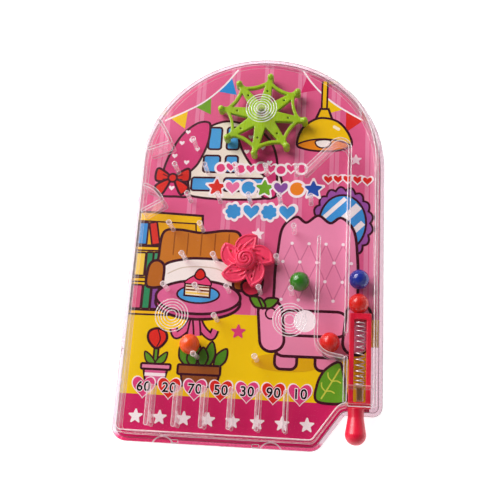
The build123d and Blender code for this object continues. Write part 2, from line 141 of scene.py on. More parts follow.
def moulded_plastic(name, colour, roughness=0.25, peel_mm=0.9, glow=0.0, coat=0.2, drift=0.10):
    """Glossy moulded plastic with a flow-marked colour and an orange-peel bump."""
    material, tree, output = new_material(name)
    place = place_of(tree)
    flow = add(tree, "ShaderNodeTexNoise", Vector=place, Scale=1 / (6 * MM), Detail=3.0)
    tone = add(tree, "ShaderNodeHueSaturation", Color=srgb(colour), Value=add(
        tree, "ShaderNodeMapRange", i0=flow.outputs["Fac"], i1=0.3, i2=0.7, i3=1 - drift, i4=1 + drift,
    ).outputs[0])
    peel = add(tree, "ShaderNodeTexNoise", Vector=place, Scale=1 / (peel_mm * MM), Detail=2.0)
    scratches = add(tree, "ShaderNodeTexNoise", Vector=add(
        tree, "ShaderNodeMapping", Vector=place, Scale=(1.0, 0.06, 1.0),
        Rotation=(0, 0, 0.7)).outputs[0], Scale=1 / (0.25 * MM), Detail=1.0)
    gloss = add(tree, "ShaderNodeMapRange", i0=scratches.outputs["Fac"], i1=0.35, i2=0.75,
                i3=roughness * 0.8, i4=roughness * 1.4)
    bump = add(tree, "ShaderNodeBump", Strength=0.12, Distance=0.05 * MM, Height=peel.outputs["Fac"])
    shader = add(tree, "ShaderNodeBsdfPrincipled", Base_Color=tone.outputs[0], IOR=1.5,
                 Roughness=gloss.outputs[0], Normal=bump.outputs[0], Coat_Weight=coat,
                 Coat_Roughness=0.08)
    if glow:
        shader.inputs["Subsurface Weight"].default_value = glow
        shader.inputs["Subsurface Radius"].default_value = (1.0, 0.5, 0.3)
        shader.inputs["Subsurface Scale"].default_value = 0.6 * MM
    tree.links.new(shader.outputs[0], output.inputs[0])
    return material


lime_acetal = moulded_plastic("lime_acetal", "#9CC80C", 0.30, glow=0.15)
coral_pvc = moulded_plastic("coral_soft_pvc", "#F23763", 0.38, glow=0.15, coat=0.1)
crimson_styrene = moulded_plastic("crimson_styrene", "#DE1238", 0.34, coat=0.12)
ball_plastics = {
    "ball_green": moulded_plastic("green_ball_styrene", "#2E8412", 0.20, coat=0.4),
    "ball_blue": moulded_plastic("blue_ball_styrene", "#142C98", 0.20, coat=0.4),
    "ball_red_lane": moulded_plastic("red_ball_styrene", "#E42012", 0.26, coat=0.25),
    "ball_orange": moulded_plastic("orange_ball_styrene", "#FB5A16", 0.28, coat=0.25),
}
ball_plastics["ball_red_pocket"] = ball_plastics["ball_red_lane"]
print("moulded plastics:", len(set(ball_plastics.values())) + 3)

# %% [markdown]
# ## Clear styrene
# The case, the rails and the pins are crystal styrene, IOR 1.59. Its walls are about a
# millimetre thick, so a ray is hardly bent: what the eye gets is a mirror gloss that grows
# towards the edges and a thin milky veil from handling. Full refraction would darken such thin
# walls without more samples, so the recipe lets light straight through and adds the gloss by
# Fresnel, and the veil as a little diffuse light in the fine scratches. Towards the edges the
# veil grows into a painted sheen, milky white that stands in for the glints of the clear edges.
# Raised ring marks and fillets get more of it: a little real haze and a painted glint that shows
# them as bright lines.

# %% Clear styrene


def clear_styrene(name, tint, veil, edge_haze_and_sheen, shade="#F4EEF0", roughness=0.04, reflected_print_tint=None):
    """Thin clear plastic: straight transmission, Fresnel gloss, a veil that grows at the edges into a
    painted sheen; a painted reflection tint colours the strip at the bottom edge with the pink of
    the print that the clear plastic shows there."""
    material, tree, output = new_material(name)
    place = place_of(tree)
    wave = add(tree, "ShaderNodeTexNoise", Vector=place, Scale=1 / (7 * MM), Detail=2.0)
    bump = add(tree, "ShaderNodeBump", Strength=0.25, Distance=0.15 * MM, Height=wave.outputs["Fac"])
    scuff = add(tree, "ShaderNodeTexNoise", Vector=place, Scale=1 / (1.6 * MM), Detail=6.0,
                Roughness=0.7)
    clear = add(tree, "ShaderNodeBsdfTransparent", Color=srgb(tint))
    if reflected_print_tint:
        # Painted reflection: the bottom strip takes the pink of the print that shows in the clear tray,
        # fading out upwards.
        split = add(tree, "ShaderNodeSeparateXYZ", Vector=place)
        rise = add(tree, "ShaderNodeMapRange", i0=split.outputs[1], i1=spot(0, 1.8).y,
                   i2=spot(0, 3.6).y)
        painted_reflection = add(tree, "ShaderNodeMix", {"data_type": "RGBA"}, i0=rise.outputs[0],
                      i6=srgb(reflected_print_tint), i7=srgb(tint))
        tree.links.new(painted_reflection.outputs[2], clear.inputs["Color"])
    lit = add(tree, "ShaderNodeBsdfDiffuse", Color=srgb("#FFFFFF"))
    glowing = add(tree, "ShaderNodeBsdfTranslucent", Color=srgb("#FFFFFF"))
    haze = add(tree, "ShaderNodeMixShader", i0=0.5, i1=lit.outputs[0], i2=glowing.outputs[0])
    gloss = add(tree, "ShaderNodeBsdfGlossy", Color=(1, 1, 1, 1), Roughness=roughness,
                Normal=bump.outputs[0])
    # Painted sheen: the veil grows from its face-on share to a larger share at grazing angles, which
    # whitens the edges of the clear walls.
    facing = add(tree, "ShaderNodeLayerWeight", Blend=0.35, Normal=bump.outputs[0])
    haze_and_sheen_share = add(tree, "ShaderNodeMapRange", i0=facing.outputs["Facing"], i1=0.35, i2=1.0,
                     i3=veil, i4=edge_haze_and_sheen)
    wear = add(tree, "ShaderNodeMapRange", i0=scuff.outputs["Fac"], i1=0.35, i2=0.7, i3=0.7, i4=1.5)
    scuffed = add(tree, "ShaderNodeMath", {"operation": "MULTIPLY"}, i0=haze_and_sheen_share.outputs[0],
                  i1=wear.outputs[0])
    body = add(tree, "ShaderNodeMixShader", i0=scuffed.outputs[0], i1=clear.outputs[0],
               i2=haze.outputs[0])
    fresnel = add(tree, "ShaderNodeFresnel", IOR=1.59, Normal=bump.outputs[0])
    outside = add(tree, "ShaderNodeMath", {"operation": "SUBTRACT"}, i0=1.0,
                  i1=tree.nodes.new("ShaderNodeNewGeometry").outputs["Backfacing"])
    mirror_share = add(tree, "ShaderNodeMath", {"operation": "MULTIPLY"}, i0=fresnel.outputs[0],
                       i1=outside.outputs[0])
    seen = add(tree, "ShaderNodeMixShader", i0=mirror_share.outputs[0], i1=body.outputs[0],
               i2=gloss.outputs[0])
    soft_shadow = add(tree, "ShaderNodeBsdfTransparent", Color=srgb(shade))
    shadow_ray = tree.nodes.new("ShaderNodeLightPath").outputs["Is Shadow Ray"]
    mix = add(tree, "ShaderNodeMixShader", i0=shadow_ray, i1=seen.outputs[0],
              i2=soft_shadow.outputs[0])
    tree.links.new(mix.outputs[0], output.inputs[0])
    return material


clear_case = clear_styrene("crystal_styrene_case", "#FFFEFE", 0.003, 0.34)
# The tray's faint pink tint and its deeper pink foot are painted reflection of the pink print in the
# clear plastic.
clear_tray = clear_styrene("crystal_styrene_tray", "#EEDCE4", 0.01, 0.30, reflected_print_tint="#E976A4")
# Rails, pins, ring marks and fillets get a larger veil than the case: real haze and painted glints that
# make them read as white lines.
clear_rail = clear_styrene("crystal_styrene_rail", "#FFFAFB", 0.045, 0.45, shade="#F2ECEE")
clear_pin = clear_styrene("crystal_styrene_pin", "#FFFCFC", 0.12, 0.70, shade="#E8DCE0")
clear_ring = clear_styrene("crystal_styrene_ridge", "#FFFFFF", 0.45, 0.85, roughness=0.12)
painted_glint_bead = clear_styrene("crystal_styrene_fillet_painted_glint", "#FFFFFF", 0.55, 0.85, roughness=0.10)
# Painted shade and painted reflection: the mauve-grey tint on the tray rim's bead stands for the dark
# rim of the clear tray with the pink card mirrored in it.
painted_rim_shade = clear_styrene("crystal_styrene_rim_painted_shade", "#B58C9C", 0.10, 0.25, roughness=0.10)
print("clear plastics:", sum(m.name.startswith("crystal_styrene") for m in bpy.data.materials))

# %% [markdown]
# ## The printed card
# The card is coated board with offset print: a striped wallpaper above, a yellow floor and a
# magenta foot. The big fields follow simple rules of place, so they are worked out in the
# shader. All that has an outline is laid on top as thin ink, made in the next steps.

# %% Coated card with its large printed fields
FLOOR_LINE = 52
FOOT_LINE = 18.4
STRIPE_PITCH = 15 * MM
SCREEN = 0.5 * MM


def band(tree, value, low, high):
    """1 where a value lies between two limits, else 0."""
    above = add(tree, "ShaderNodeMath", {"operation": "GREATER_THAN"}, i0=value, i1=low)
    below = add(tree, "ShaderNodeMath", {"operation": "LESS_THAN"}, i0=value, i1=high)
    return add(tree, "ShaderNodeMath", {"operation": "MULTIPLY"}, i0=above.outputs[0],
               i1=below.outputs[0]).outputs[0]


def mix_colour(tree, share, first, second):
    """Mix of two colours, each a socket or a hex value."""
    first, second = [srgb(c) if isinstance(c, str) else c for c in (first, second)]
    return add(tree, "ShaderNodeMix", {"data_type": "RGBA"}, i0=share, i6=first, i7=second).outputs[2]


def dot_screen(tree, place, colour):
    """A printed colour, faintly broken up by the dots of the offset screen."""
    dots = add(tree, "ShaderNodeTexVoronoi", Vector=place, Scale=1 / SCREEN)
    screen = add(tree, "ShaderNodeMapRange", i0=dots.outputs["Distance"], i1=0.0, i2=0.7, i3=0.97,
                 i4=1.03)
    return add(tree, "ShaderNodeHueSaturation", Color=colour, Value=screen.outputs[0])


def coated_card():
    """Offset print on coated board, plain grey board on the back and edges."""
    material, tree, output = new_material("offset_print_on_card")
    place = place_of(tree)
    split = add(tree, "ShaderNodeSeparateXYZ", Vector=place)
    x, y = split.outputs[0], split.outputs[1]
    shifted = add(tree, "ShaderNodeMath", {"operation": "ADD"}, i0=x,
                  i1=-1.5 * MM + 20 * STRIPE_PITCH)
    across = add(tree, "ShaderNodeMath", {"operation": "PINGPONG"}, i0=shifted.outputs[0],
                 i1=STRIPE_PITCH / 2)
    stripes = band(tree, across.outputs[0], 0.22 * MM, 2.0 * MM)
    soft = add(tree, "ShaderNodeMath", {"operation": "MULTIPLY"}, i0=stripes, i1=0.7)
    wall = mix_colour(tree, soft.outputs[0], "#E0608E", "#EA94B4")
    is_floor, is_foot = [add(tree, "ShaderNodeMath", {"operation": "LESS_THAN"}, i0=y,
                             i1=spot(0, line).y).outputs[0] for line in (FLOOR_LINE, FOOT_LINE)]
    room = mix_colour(tree, is_floor, wall, "#F3CE02")
    print_colour = mix_colour(tree, is_foot, room, "#CF1E60")
    screened = dot_screen(tree, place, print_colour)
    geometry = tree.nodes.new("ShaderNodeNewGeometry")
    up_face = add(tree, "ShaderNodeSeparateXYZ", Vector=geometry.outputs["Normal"])
    printed = add(tree, "ShaderNodeMath", {"operation": "GREATER_THAN"}, i0=up_face.outputs[2],
                  i1=0.5)
    fibres = add(tree, "ShaderNodeTexNoise", Vector=add(
        tree, "ShaderNodeMapping", Vector=place, Scale=(1.0, 0.25, 1.0)).outputs[0],
        Scale=1 / (0.6 * MM), Detail=4.0)
    board = mix_colour(tree, fibres.outputs["Fac"], "#B9B2A6", "#D8D2C8")
    colour = mix_colour(tree, printed.outputs[0], board, screened.outputs[0])
    bump = add(tree, "ShaderNodeBump", Strength=0.1, Distance=0.02 * MM, Height=fibres.outputs["Fac"])
    shader = add(tree, "ShaderNodeBsdfPrincipled", Base_Color=colour, Roughness=0.24, IOR=1.45,
                 Normal=bump.outputs[0])
    tree.links.new(shader.outputs[0], output.inputs[0])
    return material


def offset_ink():
    """Printing ink: its colour is on the mesh, with the dot screen and the sheen of the card."""
    material, tree, output = new_material("offset_ink")
    place = place_of(tree)
    ink = add(tree, "ShaderNodeAttribute", {"attribute_name": "ink"})
    colour = dot_screen(tree, place, ink.outputs["Color"])
    grain = add(tree, "ShaderNodeTexNoise", Vector=place, Scale=1 / (0.6 * MM), Detail=3.0)
    gloss = add(tree, "ShaderNodeMapRange", i0=grain.outputs["Fac"], i1=0.3, i2=0.7, i3=0.2, i4=0.28)
    shader = add(tree, "ShaderNodeBsdfPrincipled", Base_Color=colour.outputs[0],
                 Roughness=gloss.outputs[0], IOR=1.45)
    tree.links.new(shader.outputs[0], output.inputs[0])
    return material


card_print = coated_card()
ink_material = offset_ink()
print("card: stripes every", round(STRIPE_PITCH / MM), "mm, floor below", FLOOR_LINE, "mm, foot below",
      FOOT_LINE, "mm")

# %% [markdown]
# ## Laying ink
# Each printed figure is an outline in millimetres, filled with one ink, and often edged with a
# dark line. It could be painted in an image, but then it would blur close up. Here it is a
# closed sliver of ink, a few hundredths of a millimetre thick, and each new sliver stands a hair
# higher than the one before, so what is drawn later lies on top and nothing flickers.

# %% Shapes for the print
INK_FOOT = 0.002
INK_FIRST = 0.02
INK_STEP = 0.0003
MAROON = "#3C0A1C"


def circle(x, h, radius, squash=1.0, steps=40, start=0.0, sweep=360.0):
    """Points of a circle, an ellipse or an arc."""
    count = steps if sweep == 360.0 else steps + 1
    angles = [math.radians(start + sweep * i / steps) for i in range(count)]
    return [(x + radius * math.cos(a), h + radius * squash * math.sin(a)) for a in angles]


def turned(points, x, h, degrees):
    """Points turned about a centre."""
    a = math.radians(degrees)
    return [(x + (px - x) * math.cos(a) - (ph - h) * math.sin(a),
             h + (px - x) * math.sin(a) + (ph - h) * math.cos(a)) for px, ph in points]


def heart(x, h, width):
    """Points of a heart."""
    k = width / 32
    turns = [2 * math.pi * i / 40 for i in range(40)]
    return [(x + k * 16 * math.sin(t) * abs(math.sin(t)) ** 1.35,
             h + k * (13 * math.cos(t) - 5 * math.cos(2 * t) - 2 * math.cos(3 * t) - math.cos(4 * t))
             + 2 * k) for t in turns]


def star(x, h, radius, inner=0.52):
    """Points of a five-pointed star with blunt tips."""
    points = []
    for i in range(5):
        tip = 90 + 72 * i
        for share, turn in ((1.0, -5), (1.0, 5), (inner, 36)):
            a = math.radians(tip + turn)
            points.append((x + radius * share * math.cos(a), h + radius * share * math.sin(a)))
    return points


def rounded(left, low, right, high, radius):
    """Points of a rectangle with round corners."""
    corners = (right - radius, high - radius, 0), (left + radius, high - radius, 90), \
        (left + radius, low + radius, 180), (right - radius, low + radius, 270)
    return [p for x, h, a in corners for p in circle(x, h, radius, steps=6, start=a, sweep=90.0)]


def smooth(points, closed=True, steps=8):
    """A smooth line through a few points (Catmull-Rom)."""
    n = len(points)
    line = []
    for i in range(n if closed else n - 1):
        a, b, c, d = [points[j % n] if closed else points[min(max(j, 0), n - 1)]
                      for j in range(i - 1, i + 3)]
        for s in range(steps):
            t = s / steps
            line.append(tuple(0.5 * (2 * b[k] + (c[k] - a[k]) * t
                                     + (2 * a[k] - 5 * b[k] + 4 * c[k] - d[k]) * t * t
                                     + (3 * b[k] - a[k] - 3 * c[k] + d[k]) * t**3)
                              for k in (0, 1)))
    if not closed:
        line.append(points[-1])
    return line


def scallops(x, h, radius, count, depth):
    """Points of a circle edged with round lobes."""
    points = []
    for i in range(count * 8):
        a = 2 * math.pi * i / (count * 8)
        r = radius + depth * abs(math.sin(count * a / 2))
        points.append((x + r * math.cos(a), h + r * math.sin(a)))
    return points


# %% The ink pen


class Print:
    """One printed motif: slivers of ink gathered in one mesh."""

    laid = 0

    def __init__(self, name):
        self.name = name
        self.mesh = bmesh.new()
        self.ink = self.mesh.loops.layers.float_color.new("ink")

    @staticmethod
    def next_top():
        """Height of the next sliver, a hair over the last."""
        Print.laid += 1
        return INK_FIRST + INK_STEP * Print.laid

    def colour_faces(self, faces, colour):
        """Write an ink on faces."""
        for face in faces:
            for loop in face.loops:
                loop[self.ink] = srgb(colour)

    def fill(self, points, colour):
        """A filled figure."""
        rim = list(points)
        if sum(a[0] * b[1] - b[0] * a[1] for a, b in zip(rim, rim[1:] + rim[:1])) < 0:
            rim = rim[::-1]
        high = self.next_top()
        bottom = [self.mesh.verts.new(spot(x, h, INK_FOOT)) for x, h in rim]
        top = [self.mesh.verts.new(spot(x, h, high)) for x, h in rim]
        faces = [self.mesh.faces.new(top), self.mesh.faces.new(bottom[::-1])]
        for i in range(len(rim)):
            j = (i + 1) % len(rim)
            faces.append(self.mesh.faces.new((bottom[i], bottom[j], top[j], top[i])))
        self.colour_faces(faces, colour)

    def line(self, points, width, colour, closed=False):
        """A line of even width along points, made as one band."""
        pts = list(points)
        n = len(pts)
        left, right = [], []
        for i, (x, h) in enumerate(pts):
            before = pts[(i - 1) % n] if closed or i else pts[i]
            after = pts[(i + 1) % n] if closed or i < n - 1 else pts[i]
            incoming = Vector((x - before[0], h - before[1]))
            outgoing = Vector((after[0] - x, after[1] - h))
            if incoming.length < 1e-9:
                incoming = outgoing.copy()
            if outgoing.length < 1e-9:
                outgoing = incoming.copy()
            along = (incoming.normalized() + outgoing.normalized())
            along = along.normalized() if along.length > 1e-6 else outgoing.normalized()
            reach = min(1 / max(along.dot(outgoing.normalized()), 0.45), 2.2) * width / 2
            left.append((x - along.y * reach, h + along.x * reach))
            right.append((x + along.y * reach, h - along.x * reach))
        last = n if closed else n - 1
        heights = INK_FOOT, self.next_top()
        rings = [[self.mesh.verts.new(spot(*p, z)) for p in side]
                 for side in (left, right) for z in heights]
        left_low, left_high, right_low, right_high = rings
        corners = []
        for i in range(last):
            j = (i + 1) % n
            corners += [(left_high[j], left_high[i], right_high[i], right_high[j]),
                        (left_low[i], left_low[j], right_low[j], right_low[i]),
                        (left_high[i], left_high[j], left_low[j], left_low[i]),
                        (right_high[j], right_high[i], right_low[i], right_low[j])]
        if not closed:
            corners += [(left_high[0], left_low[0], right_low[0], right_high[0]),
                        (left_high[-1], right_high[-1], right_low[-1], left_low[-1])]
        self.colour_faces([self.mesh.faces.new(four) for four in corners], colour)

    def edged(self, points, colour, width=0.8, edge=MAROON):
        """A filled figure with a line round it."""
        self.fill(points, colour)
        self.line(points, 1.3 * width, edge, closed=True)

    def stroke(self, points, width, colour, edge=0.8):
        """A thick line edged with a dark one."""
        self.line(points, width + 2 * edge, MAROON)
        self.line(points, width, colour)

    def done(self):
        """Turn the motif into a piece of the card."""
        bmesh.ops.recalc_face_normals(self.mesh, faces=self.mesh.faces)
        mesh = bpy.data.meshes.new(self.name)
        self.mesh.to_mesh(mesh)
        self.mesh.free()
        mesh.materials.append(ink_material)
        piece = bpy.data.objects.new(self.name, mesh)
        bpy.context.scene.collection.objects.link(piece)
        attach(piece, "case")
        print(self.name, len(mesh.polygons), "faces")
        return piece


# %% [markdown]
# ## The printed room
# The print shows a cosy room: a curtained window, bunting, a lamp, a mirror, a bookshelf, a tea
# table, plants and two plump seats. Every motif is drawn with the same pen in the same few inks,
# as a screen printer would, from the back of the room to the front.

# %% Window and curtains
SKY_BLUE = "#4AA6E4"
RED_INK = "#DC2618"
ROSE_INK = "#DC5E92"
LEAF_INK = "#5E9A24"
VEIN_INK = "#C8D44A"
BOW_X = -38


def mirrored(points, x, flip):
    """Points given from a middle line, on its right for flip 1 and on its left for -1."""
    return [(x + flip * across, h) for across, h in points]


window = Print("print_window")
window.edged(smooth([(-31, 103.5), (-31, 118), (-27.5, 132), (-18, 138.2), (-8, 137), (2, 131),
                     (7, 118), (7, 103.5)]), "#F4EEDC")
panes = ((-23.5, 125, -17.8, 135.4), (-15.4, 125, -10, 135.6), (-25, 114.2, -17.8, 122),
         (-15.4, 114.2, -10, 122), (-29.5, 105.6, -17.8, 111.6), (-15.4, 105.6, 4, 111.6))
for pane in panes:
    window.edged(rounded(*pane, 1.2), SKY_BLUE, 0.7)
window.done()

curtains = Print("print_curtains")
left_curtain = smooth([(-24.5, 138), (-29.5, 137.2), (-36, 131), (-41, 120), (-43.4, 108.5),
                       (-43.2, 103.2), (-36, 102.6), (-30.5, 103), (-31, 109), (-32, 112.5),
                       (-27.5, 118), (-24, 127), (-23.2, 135)])
right_curtain = smooth([(-9.5, 136.8), (-3, 135.5), (3.5, 129.5), (6.8, 121), (7.4, 110),
                        (7, 103.5), (1.5, 103.4), (2.2, 112), (-3, 116.5), (-8, 124), (-10.4, 131)])
for side in (left_curtain, right_curtain):
    curtains.edged(side, "#D8407C")
hearts = ((-33, 133, 2.2), (-31, 129, 2.4), (-35.3, 127.7, 2.3), (-28.2, 124.8, 2.3),
          (-38, 121.5, 2.4), (-32.5, 118.5, 2.4), (-38, 106.4, 2.4), (-5, 131, 2.2),
          (-6.4, 124, 2.3), (0.5, 126, 2.3), (3.8, 119, 2.3), (3.5, 107.5, 2.3))
for x, h, width in hearts:
    curtains.fill(heart(x, h, width), "#FCF4F6")
for flip in (-1, 1):
    loop = [(1.2, 112.2), (6.4, 115.6), (7.6, 112.4), (6.6, 109.6), (1.2, 110.2)]
    tail = [(1.0, 110.6), (7.2, 107.4), (5.2, 103.8), (3.4, 104.4)]
    for half_bow in (loop, tail):
        curtains.edged(smooth(mirrored(half_bow, BOW_X, flip)), RED_INK)
for flip in (-1, 1):
    for crease in ([(1.6, 111.6), (4.4, 112.8)], [(1.6, 110.8), (4.4, 110.4)]):
        curtains.line(mirrored(crease, BOW_X, flip), 0.45, MAROON)
curtains.edged(circle(BOW_X, 111.2, 1.9), RED_INK, 0.7)
curtains.done()

# %% Bunting across the top corners
bunting = Print("print_bunting")
left_string = smooth([(-44, 138.5), (-36, 142.6), (-27, 148), (-19, 155.6), (-12.6, 164.2)],
                     closed=False)
right_string = smooth([(16.5, 164), (20.5, 158), (26, 151.8), (33, 146), (43.5, 139.5)], closed=False)
flags = (((-42, 140.2), (-34, 143.9), (-34.6, 134.6), "#F4CC06"),
         ((-31, 145.6), (-24, 150.2), (-23.6, 141.8), "#6FA51C"),
         ((-21, 153.2), (-15.4, 160.4), (-12.6, 151.6), "#1E8FDC"),
         ((18.4, 161), (23.6, 154.4), (16, 152.8), "#D8316E"),
         ((28, 150), (34.4, 144.8), (27.6, 142.6), "#F4CC06"),
         ((36, 143.8), (43.4, 139.6), (36, 133.8), "#DE2A20"))
for *corners, colour in flags:
    bunting.fill(corners, colour)
for string in (left_string, right_string):
    bunting.line(string, 0.75, "#FBF3F5")
bunting.done()

# %% Pendant lamp
lamp = Print("print_lamp")
lamp.stroke([(26.5, 158.6), (26.5, 144)], 1.5, "#F2C206")
lamp.edged([(24.9, 145), (28.3, 145), (30, 140.2), (23, 140.2)], "#F2C206")
lamp.edged(smooth([(15.2, 128), (17, 135), (22, 139.6), (27, 140.6), (33, 138.6), (37.4, 133),
                   (38.4, 127.4), (32, 125.2), (24, 125), (18, 126)]), "#F3C806")
lamp.edged(smooth([(15.4, 127.8), (20, 129.8), (27, 130.6), (34, 129.6), (38.2, 127.4), (32, 125.2),
                   (24, 125), (18, 126)]), "#EF8E12", 0.6)
lamp.edged(smooth([(23.2, 129.4), (26, 130.2), (29.6, 129.8), (29, 127.2), (26, 126.4),
                   (23.8, 127.4)]), "#FCF8F0", 0.5)
lamp.fill(turned(rounded(30.4, 135.2, 33.8, 136.6, 0.6), 32, 136, -32), "#FFF6C8")
lamp.done()

# %% Round mirror with scalloped frame
mirror = Print("print_mirror")
MIRROR_X, MIRROR_H = 35.6, 92.6


def oval(points):
    """Points of the mirror, made a little narrower and taller."""
    return [(MIRROR_X + 0.95 * (x - MIRROR_X), MIRROR_H + 1.2 * (h - MIRROR_H)) for x, h in points]


mirror.edged(oval(scallops(MIRROR_X, MIRROR_H, 12.0, 17, 1.3)), "#9A54A6", 0.7)
mirror.edged(oval(circle(MIRROR_X, MIRROR_H, 10.2)), "#3E9CE0", 0.7)
for shift, width in ((-5.4, 2.4), (0.6, 3.4), (6.4, 1.8)):
    reach = math.sqrt(9.7**2 - (abs(shift) + width / 2) ** 2)
    ends = [(MIRROR_X - reach, MIRROR_H + shift), (MIRROR_X + reach, MIRROR_H + shift)]
    mirror.line(oval(turned(ends, MIRROR_X, MIRROR_H, 38)), width, "#F7F7F4")
mirror.done()

# %% Bookshelf
shelf = Print("print_shelf")
shelf.edged([(-50.4, 50.8), (-50.4, 95.4), (-23.4, 94), (-22.4, 80), (-32, 79), (-33, 50.8)], "#F4C60A")
shelf.edged([(-50.4, 80.2), (-50.4, 91.2), (-26, 90.4), (-25, 81)], "#EDB208", 0.5)
books = ((-50.2, 80.6, -46.4, 90.4, "#3C94D6"), (-39.4, 66.4, -35.4, 77, "#9A5A22"),
         (-45.8, 67, -43, 77.2, "#2E8F5C"), (-42.8, 67, -40, 77.2, "#46A070"),
         (-50.2, 67, -46.2, 77, "#F2CE4C"), (-45.8, 53, -42.6, 63, "#2E8F5C"),
         (-42.2, 53, -39.4, 63, "#8E4FA0"), (-50.2, 53, -46.2, 63, "#D4547C"))
for *book, colour in books:
    shelf.edged(rounded(*book, 0.5), colour, 0.6)
shelf.edged(turned(rounded(-45, 80.6, -41.6, 90.6, 0.5), -43.4, 85, 12), "#DC3226", 0.6)
for low, right in ((78, -24), (64.4, -33.4), (50.6, -33.4)):
    shelf.edged(rounded(-50.4, low, right, low + 1.8, 0.5), "#F4BE10", 0.55)
shelf.done()

# %% Plump brown seat with a white cushion
seat = Print("print_brown_seat")
seat.edged(smooth([(-39.5, 66), (-40.6, 77), (-39.4, 86.4), (-33, 87.6), (-23, 86.4), (-13, 87.6),
                   (-7, 86.2), (-5.8, 77), (-7, 66), (-23, 63)]), "#C97A22", 0.9)
seat.edged(smooth([(-38, 63.5), (-38, 71.6), (-30, 74.6), (-23, 75.2), (-14, 74.6), (-8, 71.6),
                   (-8, 63.5), (-23, 61.5)]), "#FAF6EE", 0.9)
for x in (-41.2, -4.6):
    seat.edged(smooth([(x - 3.2, 62.6), (x - 3.6, 69), (x - 2.4, 72.8), (x + 0.6, 73.8),
                       (x + 3.2, 71.6), (x + 3.4, 66), (x + 2.8, 62.6)]), "#B96A1C", 0.9)
for x in (-34.6, -28.8, -23, -17.2, -11.4):
    seat.line([(x, 76.4), (x, 86.2)], 0.55, "#9A5616")
seat.line(smooth([(-36.2, 68.2), (-29, 71.2), (-17, 71.2), (-9.8, 68.2)], closed=False), 0.5, "#D9CDB8")
seat.done()

# %% Tea table, plate and cake
table = Print("print_table")
TABLE_X = -23
for flip in (-1, 1):
    for leg in ([(0, 52), (3, 46), (7, 42.6), (8.6, 45.4)], [(0, 52), (1, 46), (1.4, 42.6)]):
        table.stroke(smooth(mirrored(leg, TABLE_X, flip), closed=False), 2.0, ROSE_INK)
table.edged(circle(TABLE_X + 0.4, 56.4, 17.6, 0.40), "#C84A80", 0.9)
table.edged(circle(TABLE_X + 0.4, 58.6, 17.6, 0.40), "#E06A9A", 0.9)
table.edged(circle(TABLE_X + 0.4, 59.8, 8.8, 0.42), SKY_BLUE, 0.6)
table.edged([(-28.4, 59.2), (-28.4, 64.4), (-17.8, 63.6), (-17.8, 58.6)], "#FCEFD2", 0.6)
for h, colour in ((60.4, "#F2CE4C"), (61.7, "#7A3418"), (63.1, "#7A3418")):
    table.line([(-27.9, h), (-18.2, h - 0.4)], 0.7, colour)
table.edged(smooth([(-28.6, 64.4), (-26.4, 66.8), (-22.6, 68.4), (-18.8, 66.6), (-17.6, 63.7),
                    (-23, 64)]), "#E8467C", 0.5)
table.edged(smooth([(-24.6, 67.4), (-23.6, 70), (-22, 70.6), (-20.6, 69.2), (-20.4, 67.2),
                    (-22.6, 66)]), RED_INK, 0.5)
table.done()

# %% Pink wing chair with a white cushion
chair = Print("print_pink_chair")
CUSHION = "#F092B6"
chair.fill(circle(15, 33.4, 14, 0.26), "#DEAE08")
for x in (14.6, 30.6):
    chair.edged(rounded(x - 4.4, 30.8, x + 4.4, 38, 2.6), "#E486A8", 0.9)
chair.edged(smooth([(10.6, 52), (8.6, 66), (9.4, 80), (11, 90), (16.4, 94.6), (20.6, 92.2),
                    (25.6, 95.4), (30.6, 92.2), (35.2, 94.6), (40.4, 89), (42, 78), (42.4, 64),
                    (41, 50), (26, 46)]), CUSHION, 0.9)
buttons = [[(25.6 + 7 * (column + 0.5 * (row % 2)), 59 + 8 * row)
            for column in range(-2, 3 - row % 2)] for row in range(4)]
for lower, upper in zip(buttons, buttons[1:]):
    for seam in [(a, b) for a in lower for b in upper if abs(a[0] - b[0]) < 4]:
        chair.line(seam, 0.45, "#D4789A")
for x, h in sum(buttons, []):
    chair.fill(circle(x, h, 0.7, steps=12), "#FCF1F4")
chair.edged(rounded(9.4, 36, 41.4, 46.4, 4.2), "#E68BAB", 0.9)
chair.edged(rounded(11.8, 44.4, 39, 54.6, 4.6), CUSHION, 0.9)
for x, lean in ((8.6, 6), (42.4, -6)):
    arm = rounded(x - 5.2, 37.6, x + 4.6, 58.4, 4.6)
    chair.edged(turned(arm, x, 46, lean), CUSHION, 0.9)
    chair.line(turned(circle(x, 53, 2.2, start=20, sweep=260), x, 46, lean), 0.7, MAROON)
chair.fill(circle(21.6, 50.4, 4.5), "#FCF4F6")
chair.done()

# %% Tulip pot and planter
plants = Print("print_plants")
STEM_X = -37.8
plants.stroke([(STEM_X, 31), (STEM_X, 38)], 0.9, LEAF_INK)
for flip in (-1, 1):
    leaf = [(0, 31), (2, 33.8), (4.6, 35.4), (4, 32), (2, 30.6)]
    plants.edged(smooth(mirrored(leaf, STEM_X, flip)), LEAF_INK, 0.5)
plants.edged(smooth([(-41.4, 43.6), (-38.2, 45), (-34.6, 43.6), (-34.2, 40), (STEM_X, 36.8),
                     (-41.4, 40)]), "#DE2A20", 0.8)
plants.line(smooth([(STEM_X, 37.4), (-36.6, 40.6), (STEM_X, 44.4)], closed=False), 0.5, MAROON)
plants.edged([(-42.4, 29), (-41, 22.5), (-34, 22.5), (-32.4, 29)], ROSE_INK, 0.7)
plants.line([(-41.6, 26.3), (-33.2, 26.3)], 1.3, "#FCEFF2")
plants.edged(rounded(-43.4, 28.4, -31.4, 30.6, 0.6), "#E889AC", 0.7)
POT_RIM = 30
for x, lean, length in ((-24, 26, 9), (-20.5, 8, 11), (-16.6, -8, 10.6), (-13.6, -30, 9),
                        (-18.6, 0, 8), (-22, 14, 7)):
    leaf = smooth([(x, POT_RIM), (x - 2.2, POT_RIM + length * 0.5), (x, POT_RIM + length),
                   (x + 2.2, POT_RIM + length * 0.5)])
    plants.edged(turned(leaf, x, POT_RIM, lean), "#4E8E1E", 0.6)
